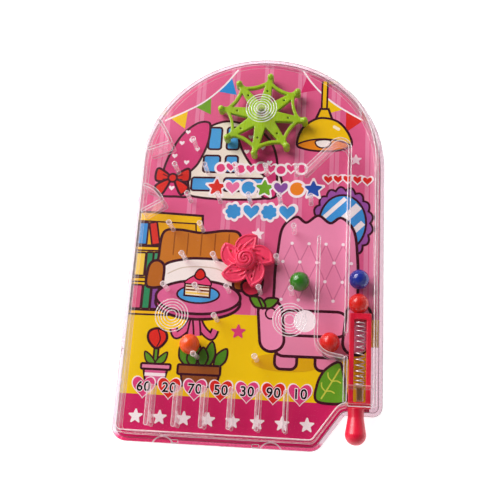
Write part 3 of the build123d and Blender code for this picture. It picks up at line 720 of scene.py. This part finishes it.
plants.edged([(-27, 27.5), (-26, 22.5), (-12.6, 22.5), (-11.4, 27.5)], "#8A4A1E", 0.7)
plants.edged(rounded(-28.4, 27, -11.2, 30.8, 0.6), "#9C5624", 0.7)
plants.edged(smooth([(27.6, 19), (27.2, 25), (30, 31), (35.6, 34.6), (37.4, 30), (38.4, 24),
                     (38, 19)]), "#62A222", 0.8)
plants.line(smooth([(29, 20), (32, 25), (36, 32)], closed=False), 0.6, VEIN_INK)
for x, h in ((30.6, 23), (33, 27)):
    for end in ([(x - 1.4, h + 1.6), (x - 1.6, h + 3.4)], [(x + 2, h + 0.2), (x + 3.6, h - 0.6)]):
        plants.line(smooth([(x, h), *end], closed=False), 0.5, VEIN_INK)
plants.edged(smooth([(-4, 66), (-4.6, 62.4), (-1.6, 60), (2.2, 61), (3.6, 64.6), (3, 67.6)]),
             "#DC2E50", 0.8)
for lean in (-64, 58):
    leaf = smooth([(4.6, 55), (2.4, 58.6), (4.6, 62.6), (6.6, 58.6)])
    plants.edged(turned(leaf, 4.6, 56, lean), LEAF_INK, 0.7)
plants.line([(4.6, 54.4), (1.6, 60.6)], 0.8, MAROON)
plants.done()

# %% [markdown]
# ## Title plates, stars and scores
# Where a toy has its title, this one has plain badges: hearts, stars and dots with white rims.
# The eight stars at the foot and the seven score hearts are repeats, which Geometry Nodes make:
# a line of points carries one outline, and the spacing is an input, so that the row can be
# respaced without redrawing.

# %% Badges in place of words
badges = Print("print_badges")
small_row = [(-17.2 + 4.35 * i, 116.2 + 0.5 * math.sin(1.9 * i)) for i in range(9)]
for i, (x, h) in enumerate(small_row):
    if i % 2:
        outer, inner = heart(x, h, 6.0), heart(x, h, 4.0)
    else:
        outer, inner = circle(x, h, 2.9, steps=24), circle(x, h, 1.9, steps=24)
    badges.fill(outer, "#FDF5F6")
    badges.fill(inner, "#E2457F")
big_inks = ("#E0352A", "#EE78A8", "#3F9FE0", "#6FB226", "#8E55A8", "#F08A20", "#2457B4")
for i, colour in enumerate(big_inks):
    x, h = -18.4 + 6.9 * i, 107.2
    for size, ink in ((1.32, "#FDF8F8"), (0.96, colour)):
        shapes = (star(x, h, 3.9 * size, 0.56), heart(x, h, 6.2 * size),
                  circle(x, h, 3.1 * size, steps=28))
        badges.fill(shapes[i % 3], ink)
for i in range(4):
    x, h = -10.4 + 7.6 * i, 96.4
    for size, ink in ((1.30, "#FDF8F8"), (0.95, "#3F9FE0")):
        shapes = scallops(x, h, 2.9 * size, 7, 0.7 * size), heart(x, h, 7.2 * size)
        badges.fill(shapes[i % 2], ink)
for i in range(5):
    x, h = 29.2 + 4.1 * i, 112.0 - 0.10 * (i - 1.6) ** 2
    badges.fill(heart(x, h, 5.4), "#FDF5F6")
    badges.fill(heart(x, h, 3.8), "#DC2A22")
for x, h, radius, colour in ((-5, 45, 3.0, "#E0407A"), (0.6, 86.6, 2.6, "#FBF1F3"),
                             (40.6, 121, 2.5, "#F6DCE4")):
    badges.fill(star(x, h, radius), colour)
badges.done()

# %% Geometry Nodes helpers


def new_tree(name, **inputs):
    """A geometry tree with a Geometry input and named, typed inputs, and its group input."""
    tree = bpy.data.node_groups.new(name, "GeometryNodeTree")
    tree.interface.new_socket("Geometry", in_out="INPUT", socket_type="NodeSocketGeometry")
    tree.interface.new_socket("Geometry", in_out="OUTPUT", socket_type="NodeSocketGeometry")
    for socket, kind in inputs.items():
        tree.interface.new_socket(socket, in_out="INPUT", socket_type="NodeSocket" + kind)
    return tree, tree.nodes.new("NodeGroupInput").outputs


def end_tree(tree, geometry, material):
    """Realize the instances, set the material and send the result out."""
    real = add(tree, "GeometryNodeRealizeInstances", Geometry=geometry)
    finish = add(tree, "GeometryNodeSetMaterial", Geometry=real.outputs[0], Material=material)
    tree.links.new(finish.outputs[0], tree.nodes.new("NodeGroupOutput").inputs[0])


def plain_mesh(carrier):
    """Plain mesh of an object with its modifiers applied; the object is removed."""
    bpy.context.view_layer.update()
    evaluated = carrier.evaluated_get(bpy.context.evaluated_depsgraph_get())
    mesh = bpy.data.meshes.new_from_object(evaluated)
    bpy.data.objects.remove(carrier)
    return mesh


def grown(name, base_mesh, tree, **values):
    """Plain mesh that a tree grows from a base mesh, with its named inputs set."""
    carrier = bpy.data.objects.new(name + "_carrier", base_mesh)
    bpy.context.scene.collection.objects.link(carrier)
    modifier = carrier.modifiers.new("grow", "NODES")
    modifier.node_group = tree
    for item in tree.interface.items_tree:
        if item.in_out == "INPUT" and item.name in values:
            modifier[item.identifier] = values[item.name]
    mesh = plain_mesh(carrier)
    mesh.name = name
    return mesh


def piece_of(name, mesh, body, replaced=(), sharp=35):
    """An object at the origin that rides on a body and hides the CAD nodes that it replaces."""
    for polygon in mesh.polygons:
        polygon.use_smooth = True
    if sharp:
        mesh.set_sharp_from_angle(angle=math.radians(sharp))
    piece = bpy.data.objects.new(name, mesh)
    bpy.context.scene.collection.objects.link(piece)
    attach(piece, body)
    if replaced:
        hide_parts(*replaced)
    print(name, len(mesh.polygons), "faces on", body)
    return piece


# %% Rows of stars and score hearts


def row_tree():
    """One motif repeated along a straight line of points."""
    tree, given = new_tree("row_of_motifs", Count="Int", Step="Vector", Finish="Material")
    line = add(tree, "GeometryNodeMeshLine", Count=given["Count"], Offset=given["Step"])
    copies = add(tree, "GeometryNodeInstanceOnPoints", Points=line.outputs[0],
                 Instance=given["Geometry"])
    end_tree(tree, copies.outputs[0], given["Finish"])
    return tree


row_of_motifs = row_tree()


def printed_row(name, layers, count, step):
    """A row of one printed motif, given as outlines and inks, as a piece of the card."""
    motif = Print(name)
    for outline, ink in layers:
        motif.fill(outline, ink)
    bmesh.ops.recalc_face_normals(motif.mesh, faces=motif.mesh.faces)
    base = bpy.data.meshes.new(name)
    motif.mesh.to_mesh(base)
    motif.mesh.free()
    mesh = grown(name, base, row_of_motifs, Count=count, Step=(step * MM, 0, 0), Finish=ink_material)
    return piece_of(name, mesh, "case")


SCORE_STEP = 10.4
FIRST_SCORE = -41.6
printed_row("print_stars", [(star(-43.6, 9.7, 2.9), "#FBF6F4")], 8, 9.65)
for name, first, count, colour in (("print_hearts_pink", FIRST_SCORE, 4, "#DE3F7C"),
                                   ("print_hearts_red", FIRST_SCORE + SCORE_STEP, 3, "#D8271E")):
    rimmed_heart = [(heart(first, 21.2, 9.9), "#FDF0F3"), (heart(first, 21.2, 9.0), colour)]
    printed_row(name, rimmed_heart, count, 2 * SCORE_STEP)

# %% Score numbers


def number(value, x, h, height, swell, top):
    """Thin solid digits lying on the card; swell thickens their strokes."""
    text = bpy.data.curves.new("score_%d" % value, "FONT")
    text.body = str(value)
    text.size = height * 1.38 * MM
    text.align_x = "CENTER"
    text.space_character = 1.12
    text.extrude = top * MM / 2
    text.offset = swell * MM
    carrier = bpy.data.objects.new("number_carrier", text)
    bpy.context.scene.collection.objects.link(carrier)
    mesh = plain_mesh(carrier)
    centre = spot(x, h - height / 2, top / 2 + INK_FOOT)
    for vertex in mesh.vertices:
        vertex.co += centre
    return mesh


for name, swell, colour in (("print_number_rims", 0.38, "#FDF6F7"),
                            ("print_numbers", 0.13, "#1A1014")):
    digits = bmesh.new()
    top = Print.next_top()
    for i, value in enumerate((60, 20, 70, 50, 30, 90, 10)):
        digits.from_mesh(number(value, FIRST_SCORE + i * SCORE_STEP, 21.6, 3.9, swell, top))
    ink = digits.loops.layers.float_color.new("ink")
    for face in digits.faces:
        for loop in face.loops:
            loop[ink] = srgb(colour)
    bmesh.ops.remove_doubles(digits, verts=digits.verts, dist=0.0005 * MM)
    digits_mesh = bpy.data.meshes.new(name)
    digits.to_mesh(digits_mesh)
    digits.free()
    digits_mesh.materials.clear()
    digits_mesh.materials.append(ink_material)
    piece_of(name, digits_mesh, "case")

# %% [markdown]
# ## Moulded parts with soft edges
# A mould has no knife edges: every rib and hole of the spinners and the plunger is rounded by
# a few tenths of a millimetre. A bevel would trip over the many small faces of the CAD mesh, so
# a copy is wrapped in a fine voxel skin and relaxed, which rounds all edges alike and joins
# ridges to the body as one moulding.

# %% Soften a CAD form


def softened(name, parts, voxel, rounds):
    """One smooth skin round a few meshes: voxel size in millimetres and rounds of relaxing."""
    join = bmesh.new()
    for mesh in parts:
        join.from_mesh(mesh)
    bmesh.ops.scale(join, vec=(1 / MM,) * 3, verts=join.verts)
    bmesh.ops.remove_doubles(join, verts=join.verts, dist=0.002)
    mesh = bpy.data.meshes.new(name)
    join.to_mesh(mesh)
    join.free()
    carrier = bpy.data.objects.new(name + "_carrier", mesh)
    bpy.context.scene.collection.objects.link(carrier)
    skin = carrier.modifiers.new("skin", "REMESH")
    skin.mode = "VOXEL"
    skin.voxel_size = voxel
    relax = carrier.modifiers.new("relax", "SMOOTH")
    relax.factor = 0.5
    relax.iterations = rounds
    result = plain_mesh(carrier)
    result.name = name
    for vertex in result.vertices:
        vertex.co *= MM
    result.materials.clear()
    return result


def with_material(mesh, material):
    """The mesh with one material."""
    mesh.materials.clear()
    mesh.materials.append(material)
    return mesh


def middle(node):
    """Centre of a node's box."""
    low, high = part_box(node)
    return (low + high) / 2


web_mesh = softened("web_spinner_moulding", [nodes["web_spinner"].data], 0.17, 5)
piece_of("web_spinner_moulding", with_material(web_mesh, lime_acetal), "web_body",
         ["web_spinner"], sharp=0)
plunger_mesh = softened("plunger_moulding", [nodes["plunger"].data], 0.2, 4)
piece_of("plunger_moulding", with_material(plunger_mesh, crimson_styrene), "plunger_body",
         ["plunger"], sharp=0)

# %% [markdown]
# ## The flower spinner
# The flower is a flat moulding with relief: a raised lip along each petal, a vein, and a rose of
# wound petals in the middle. The relief repeats five times, so one set of ridges is drawn as
# curves and Geometry Nodes turn it round the axle; the softening then melts it into the body.
# The rose is a spiral groove pressed into the hub.

# %% Ridges of the flower
flower_axis = middle("flower_pin")
flower_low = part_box("flower_spinner")[0]
flower_verts = [v.co for v in nodes["flower_spinner"].data.vertices]
FLOWER_REACH = max((v.xy - flower_axis.xy).length for v in flower_verts) / MM
PLATE_THICKNESS = 2.2
PLATE_TOP = (flower_low.z - CARD_TOP) / MM + PLATE_THICKNESS
FIRST_PETAL = -4.0


def polar(share, lead, z):
    """Point of the first petal: share of the reach, degrees ahead of its tip, height over the card."""
    a = math.radians(FIRST_PETAL + lead)
    r = FLOWER_REACH * share * MM
    return Vector((r * math.cos(a), r * math.sin(a), z * MM))


def ridge_mesh(lines):
    """Edges along smooth lines, as the paths that a tree gives thickness to."""
    verts, edges = [], []
    for line in lines:
        first = len(verts)
        verts += [tuple(p) for p in line]
        edges += [(first + i, first + i + 1) for i in range(len(line) - 1)]
    mesh = bpy.data.meshes.new("ridge_paths")
    mesh.from_pydata(verts, edges, [])
    return mesh


def smooth_3d(points, steps=10):
    """A smooth line through points in space."""
    flat = smooth([(p.x, p.y) for p in points], closed=False, steps=steps)
    heights = smooth([(i, p.z) for i, p in enumerate(points)], closed=False, steps=steps)
    return [Vector((x, y, z)) for (x, y), (_, z) in zip(flat, heights)]


lip, hollow_edge, vein, tuck = [
    smooth_3d([polar(share, lead, PLATE_TOP + rise) for share, lead, rise in path]) for path in (
        [(0.40, 84, 0), (0.72, 52, 0), (0.90, 27, 0), (0.94, 3, -0.1)],
        [(0.90, 1, -0.1), (0.68, -5, 0), (0.42, -16, 0.3)],
        [(0.36, 48, 0.4), (0.52, 26, 0.1), (0.80, 6, -0.1)],
        [(0.26, 66, 1.6), (0.46, 62, 0.6), (0.60, 40, 0)])]


def spun_ridge_tree():
    """Round ridges along the given edges, repeated about the Z axis."""
    tree, given = new_tree("spun_ridges", Count="Int", Radius="Float", Centre="Vector",
                           Finish="Material")
    paths = add(tree, "GeometryNodeMeshToCurve", Mesh=given["Geometry"])
    rim = add(tree, "GeometryNodeCurvePrimitiveCircle", Resolution=12, Radius=given["Radius"])
    tube = add(tree, "GeometryNodeCurveToMesh", Curve=paths.outputs[0], Profile_Curve=rim.outputs[0],
               Fill_Caps=True)
    spokes = add(tree, "GeometryNodeMeshLine", Count=given["Count"], Offset=(0, 0, 0))
    step = add(tree, "ShaderNodeMath", {"operation": "DIVIDE"}, i0=2 * math.pi, i1=given["Count"])
    turn = add(tree, "ShaderNodeMath", {"operation": "MULTIPLY"},
               i0=add(tree, "GeometryNodeInputIndex").outputs[0], i1=step.outputs[0])
    spin = add(tree, "ShaderNodeCombineXYZ", Z=turn.outputs[0])
    copies = add(tree, "GeometryNodeInstanceOnPoints", Points=spokes.outputs[0],
                 Instance=tube.outputs[0], Rotation=spin.outputs[0])
    placed = add(tree, "GeometryNodeTransform", Geometry=copies.outputs[0],
                 Translation=given["Centre"])
    end_tree(tree, placed.outputs[0], given["Finish"])
    return tree


spun_ridges = spun_ridge_tree()
ridges = [grown(name, ridge_mesh(lines), spun_ridges, Count=5, Radius=radius * MM,
                Centre=(flower_axis.x, flower_axis.y, CARD_TOP), Finish=coral_pvc)
          for name, lines, radius in (("petal_lips", [lip, hollow_edge], 0.42),
                                      ("petal_veins", [vein, tuck], 0.36))]
flower_mesh = softened("flower_spinner_moulding", [nodes["flower_spinner"].data, *ridges], 0.15, 4)
ROSE_RADIUS = 4.3 * MM
ROSE_PITCH = 1.5 * MM
ROSE_DEPTH = 0.75 * MM
for vertex in flower_mesh.vertices:
    arm = vertex.co.xy - flower_axis.xy
    if arm.length < ROSE_RADIUS and vertex.co.z > CARD_TOP + (PLATE_TOP + 1) * MM:
        winding = math.atan2(arm.y, arm.x) * 2 + 2 * math.pi * arm.length / ROSE_PITCH
        groove = max(0.0, math.cos(winding)) ** 2
        vertex.co.z -= ROSE_DEPTH * groove * min(1.0, 2 * (1 - arm.length / ROSE_RADIUS) + 0.3)
piece_of("flower_spinner_moulding", with_material(flower_mesh, coral_pvc), "flower_body",
         ["flower_spinner"], sharp=0)

# %% [markdown]
# ## Balls
# The balls are moulded in two half shells, so each has a hair-thin parting line round its
# middle and a small flat where the plastic flowed in. A plain sphere lacks both. The profile is
# turned here point by point, with rows packed where the line stands.

# %% Balls with a parting line


def ball_mesh(name, centre, radius, tilt):
    """Ball with a parting line and a gate flat, its line tilted about X."""
    latitudes = sorted({*[-90 + 6 * i for i in range(1, 30)], -1.6, -1.0, -0.5, 0.5, 1.0, 1.6})
    columns = 64
    bm = bmesh.new()
    rows = []
    for latitude in latitudes:
        r = radius + 0.035 * MM * math.exp(-(latitude / 0.9) ** 2)
        a = math.radians(latitude)
        turns = [2 * math.pi * i / columns for i in range(columns)]
        rows.append([bm.verts.new((r * math.cos(a) * math.cos(t), r * math.cos(a) * math.sin(t),
                                   r * math.sin(a))) for t in turns])
    for lower, upper in zip(rows, rows[1:]):
        for i in range(columns):
            bm.faces.new((lower[i], lower[(i + 1) % columns], upper[(i + 1) % columns], upper[i]))
    gate = radius * 0.9985
    for row, z in ((rows[0], -gate), (rows[-1], gate)):
        pole = bm.verts.new((0, 0, z))
        for i in range(columns):
            bm.faces.new((row[i], row[(i + 1) % columns], pole))
    bmesh.ops.recalc_face_normals(bm, faces=bm.faces)
    a = math.radians(tilt)
    for vertex in bm.verts:
        x, y, z = vertex.co
        vertex.co = centre + Vector((x, y * math.cos(a) - z * math.sin(a),
                                     y * math.sin(a) + z * math.cos(a)))
    mesh = bpy.data.meshes.new(name)
    bm.to_mesh(mesh)
    bm.free()
    return mesh


ball_bodies = {node: body for body, members in frame["record"]["behaviour"]["bodies"].items()
               for node in members if node.startswith("ball_")}
tilts = {"ball_green": 24, "ball_blue": 70, "ball_red_lane": -50, "ball_orange": 35,
         "ball_red_pocket": 62}
for node, body in sorted(ball_bodies.items()):
    low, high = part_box(node)
    mesh = ball_mesh(node + "_shell", middle(node), (high.z - low.z) / 2, tilts[node])
    piece_of(node + "_shell", with_material(mesh, ball_plastics[node]), body,
             [node], sharp=0)

# %% [markdown]
# ## Spring
# The spring is steel wire wound on a mandrel, with its end turns closed up and ground. Geometry
# Nodes wind it: a spiral whose ends are squeezed flat gives the path, a circle gives the wire.
# It has a little play in the window, so the plunger passes it at full pull.

# %% Steel wire and the coil


def spring_steel():
    """Drawn steel wire: bright, with fine drawing lines along it."""
    material, tree, output = new_material("drawn_spring_steel")
    place = place_of(tree)
    lines = add(tree, "ShaderNodeTexNoise", Vector=add(
        tree, "ShaderNodeMapping", Vector=place, Scale=(1.0, 8.0, 1.0)).outputs[0],
        Scale=1 / (1.2 * MM), Detail=2.0)
    gloss = add(tree, "ShaderNodeMapRange", i0=lines.outputs["Fac"], i1=0.3, i2=0.7, i3=0.28, i4=0.42)
    tone = mix_colour(tree, lines.outputs["Fac"], "#DADBDF", "#F4F4F6")
    shader = add(tree, "ShaderNodeBsdfPrincipled", Base_Color=tone, Metallic=0.75,
                 Roughness=gloss.outputs[0])
    tree.links.new(shader.outputs[0], output.inputs[0])
    return material


steel_wire = spring_steel()
spring_low, spring_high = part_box("plunger_spring")
spring_middle = middle("plunger_spring")
WIRE = 0.45 * MM
SIDE_PLAY = 0.07 * MM
END_PLAY = 0.05 * MM


def coil_tree():
    """A spiral up the Z axis with its end turns closed, given the thickness of a wire."""
    tree, given = new_tree("wound_spring", Turns="Float", Length="Float", Radius="Float", Wire="Float",
                           Finish="Material")
    spiral = add(tree, "GeometryNodeCurveSpiral", Resolution=28, Rotations=given["Turns"],
                 Start_Radius=given["Radius"], End_Radius=given["Radius"], Height=given["Length"])
    place = add(tree, "ShaderNodeSeparateXYZ", Vector=add(tree, "GeometryNodeInputPosition").outputs[0])
    share = add(tree, "ShaderNodeMath", {"operation": "DIVIDE"}, i0=place.outputs[2],
                i1=given["Length"])
    eased = add(tree, "ShaderNodeMapRange", {"interpolation_type": "SMOOTHSTEP"},
                i0=share.outputs[0], i1=0.0, i2=1.0, i3=0.0, i4=given["Length"])
    blend = add(tree, "ShaderNodeMix", {"data_type": "FLOAT"}, i0=0.45, i2=place.outputs[2],
                i3=eased.outputs[0])
    moved = add(tree, "ShaderNodeCombineXYZ", X=place.outputs[0], Y=place.outputs[1],
                Z=blend.outputs[0])
    closed = add(tree, "GeometryNodeSetPosition", Geometry=spiral.outputs[0],
                 Position=moved.outputs[0])
    rim = add(tree, "GeometryNodeCurvePrimitiveCircle", Resolution=10, Radius=given["Wire"])
    wire = add(tree, "GeometryNodeCurveToMesh", Curve=closed.outputs[0], Profile_Curve=rim.outputs[0],
               Fill_Caps=True)
    end_tree(tree, wire.outputs[0], given["Finish"])
    return tree


spring_mesh = grown("plunger_spring_coil", bpy.data.meshes.new("empty"), coil_tree(), Turns=13.0,
                    Length=spring_high.y - spring_low.y - WIRE - END_PLAY,
                    Radius=(spring_high.x - spring_low.x - WIRE) / 2 - SIDE_PLAY,
                    Wire=WIRE / 2, Finish=steel_wire)
for vertex in spring_mesh.vertices:
    x, y, z = vertex.co
    vertex.co = (spring_middle.x + x, spring_low.y + WIRE / 2 + z, spring_middle.z - y)
spring = piece_of("plunger_spring_coil", spring_mesh, "case", ["plunger_spring"],
                  sharp=0)
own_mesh(spring)

# %% [markdown]
# ## Clear mouldings
# The cover, tray, rails, dividers and pins keep their CAD shapes and get the clear styrene.
# Where two walls of clear plastic meet, the mould leaves a small fillet, and that fillet is what
# the eye sees of a clear rail: a thin bright line at its top and at its foot. The lines follow
# the edges of the CAD walls, so they are read from the mesh, and Geometry Nodes turn each edge
# into a fine bead. The beads are milky white, a painted glint that stands in for the light the
# fillet catches. The same bead runs round the rim of the cover and the flange.

# %% Beads along the edges


def bead_tree():
    """Fine round beads along the given edges."""
    tree, given = new_tree("fillet_beads", Radius="Float", Finish="Material")
    paths = add(tree, "GeometryNodeMeshToCurve", Mesh=given["Geometry"])
    even = add(tree, "GeometryNodeResampleCurve", {"mode": "LENGTH"}, Curve=paths.outputs[0],
               Length=0.8 * MM)
    rim = add(tree, "GeometryNodeCurvePrimitiveCircle", Resolution=6, Radius=given["Radius"])
    tube = add(tree, "GeometryNodeCurveToMesh", Curve=even.outputs[0], Profile_Curve=rim.outputs[0],
               Fill_Caps=True)
    end_tree(tree, tube.outputs[0], given["Finish"])
    return tree


fillet_beads = bead_tree()


def edges_at(node, heights):
    """The sharp edges of a node that lie level at any of the given heights, as a mesh of lines."""
    bm = bmesh.new()
    bm.from_mesh(nodes[node].data)
    bmesh.ops.remove_doubles(bm, verts=bm.verts, dist=0.002 * MM)
    chosen = []
    for edge in bm.edges:
        ends = [v.co for v in edge.verts]
        level = any(all(abs(end.z - z) < 0.01 * MM for end in ends) for z in heights)
        if level and len(edge.link_faces) == 2 and edge.calc_face_angle(0) > 0.5:
            chosen.append(edge)
    index = {}
    for edge in chosen:
        for vertex in edge.verts:
            index.setdefault(vertex, len(index))
    mesh = bpy.data.meshes.new(node + "_edges")
    mesh.from_pydata([tuple(v.co) for v in index],
                     [[index[v] for v in edge.verts] for edge in chosen], [])
    bm.free()
    return mesh


def beads(name, node, heights, radius, material=painted_glint_bead):
    """Beads along a node's level edges, as one clear piece on the case."""
    mesh = grown(name, edges_at(node, heights), fillet_beads, Radius=radius * MM, Finish=material)
    return piece_of(name, mesh, "case", sharp=0)


rail_low, rail_high = [corner.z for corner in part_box("lane_wall")]
PIN_CHAMFER = 0.12 * MM
FLANGE_THICKNESS = 1.0 * MM
RAILS = ("lane_wall", "pocket_wall", "plunger_guide", "score_dividers", "upper_deflector",
         "lower_deflector")
# The rail and pin beads are painted glints: milky white lines where the clear fillets catch the light.
for node in RAILS:
    beads(node + "_fillets", node, (rail_low, rail_high), 0.14)
for node in [n for n in nodes if n.startswith("peg_row") or n == "lone_pegs"]:
    beads(node + "_fillets", node, (rail_low + PIN_CHAMFER, rail_low, rail_high), 0.16)
cover_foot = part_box("front_cover")[0].z
beads("cover_inner_fillet", "front_cover", (rail_high,), 0.16)
beads("cover_foot_fillet", "front_cover", (cover_foot,), 0.10)
beads("flange_fillet", "front_cover", (cover_foot + FLANGE_THICKNESS,), 0.12)
# The tray rim's bead carries the mauve-grey painted shade.
beads("tray_rim_fillet", "back_tray", (CARD_TOP,), 0.12, painted_rim_shade)


# %% Materials of the CAD nodes
finishes = {clear_pin: ("peg_row", "lone_pegs", "web_pin", "flower_pin"),
            clear_rail: (*RAILS, "spring_stop"),
            clear_ring: ("ring_mark", "flange_beads"),
            clear_case: ("front_cover", "plunger_port"),
            clear_tray: ("back_tray",),
            card_print: ("print_card",)}
for material, beginnings in finishes.items():
    dressed = [node for node in nodes if node.startswith(beginnings)]
    for node in dressed:
        with_material(nodes[node].data, material)
    print(material.name, "on", len(dressed), "CAD parts")

# %% [markdown]
# ## Floor, light and camera
# The toy lies on a light table: a sheet of opal acrylic that glows faintly, so that the clear
# case casts only a pale shadow. One big soft light stands at the upper left. The white room is
# bright near the horizon and dim overhead, which keeps its mirror image off the flat cover.

# %% Stage


def studio_floor():
    """Opal acrylic of a light table: matt white with a faint glow from below."""
    material, tree, output = new_material("opal_acrylic")
    grain = add(tree, "ShaderNodeTexNoise", Vector=place_of(tree), Scale=1 / (3 * MM), Detail=2.0)
    gloss = add(tree, "ShaderNodeMapRange", i0=grain.outputs["Fac"], i1=0.3, i2=0.7, i3=0.5, i4=0.6)
    shader = add(tree, "ShaderNodeBsdfPrincipled", Base_Color=srgb("#FAFAFA"),
                 Roughness=gloss.outputs[0], Emission_Color=srgb("#FFFFFF"),
                 Emission_Strength=0.8)
    tree.links.new(shader.outputs[0], output.inputs[0])
    return material


floor_mesh = bpy.data.meshes.new("floor")
HALF = 1.5
floor_mesh.from_pydata([(-HALF, -HALF, 0), (HALF, -HALF, 0), (HALF, HALF, 0), (-HALF, HALF, 0)],
                       [], [(0, 1, 2, 3)])
floor_mesh.materials.append(studio_floor())
floor = bpy.data.objects.new("floor", floor_mesh)
floor.location.z = cad_box[0][2] - 0.02 * MM
bpy.context.scene.collection.objects.link(floor)

world = bpy.data.worlds.new("white_room")
world.use_nodes = True
sky = world.node_tree
ray = add(sky, "ShaderNodeTexCoord").outputs["Generated"]
height_of_ray = add(sky, "ShaderNodeSeparateXYZ", Vector=ray).outputs[2]
dimming = add(sky, "ShaderNodeMapRange", {"interpolation_type": "SMOOTHSTEP"}, i0=height_of_ray,
              i1=0.45, i2=0.90, i3=0.55, i4=0.02)
background = sky.nodes["Background"]
background.inputs["Color"].default_value = srgb("#FFFFFF")
sky.links.new(dimming.outputs[0], background.inputs["Strength"])
bpy.context.scene.world = world


def softbox(name, place, target, size, watts):
    """Square area light that points at a place."""
    light = bpy.data.lights.new(name, "AREA")
    light.size = size
    light.energy = watts
    lamp_object = bpy.data.objects.new(name, light)
    lamp_object.location = place
    aim = Vector(target) - Vector(place)
    lamp_object.rotation_euler = aim.to_track_quat("-Z", "Y").to_euler()
    bpy.context.scene.collection.objects.link(lamp_object)
    print(name, round(watts), "W,", size, "m wide,", round(aim.length, 2), "m away")


softbox("key_light", (-1.05, 0.80, 0.98), (0, 0, 0), 1.15, 42.0)
bpy.context.scene.view_settings.view_transform = "Standard"

# %% Camera
camera_data = bpy.data.cameras.new("camera")
camera_data.lens = 52.587
camera_data.sensor_width = 36.0
camera = bpy.data.objects.new("camera", camera_data)
camera.location = (0.030551, -0.092560, 0.291610)
camera.rotation_euler = [math.radians(a) for a in (17.1074, 5.4364, 3.4520)]
bpy.context.scene.collection.objects.link(camera)
bpy.context.scene.camera = camera
print("camera", round(camera_data.lens, 1), "mm lens,", round(camera.location.length, 3), "m away")
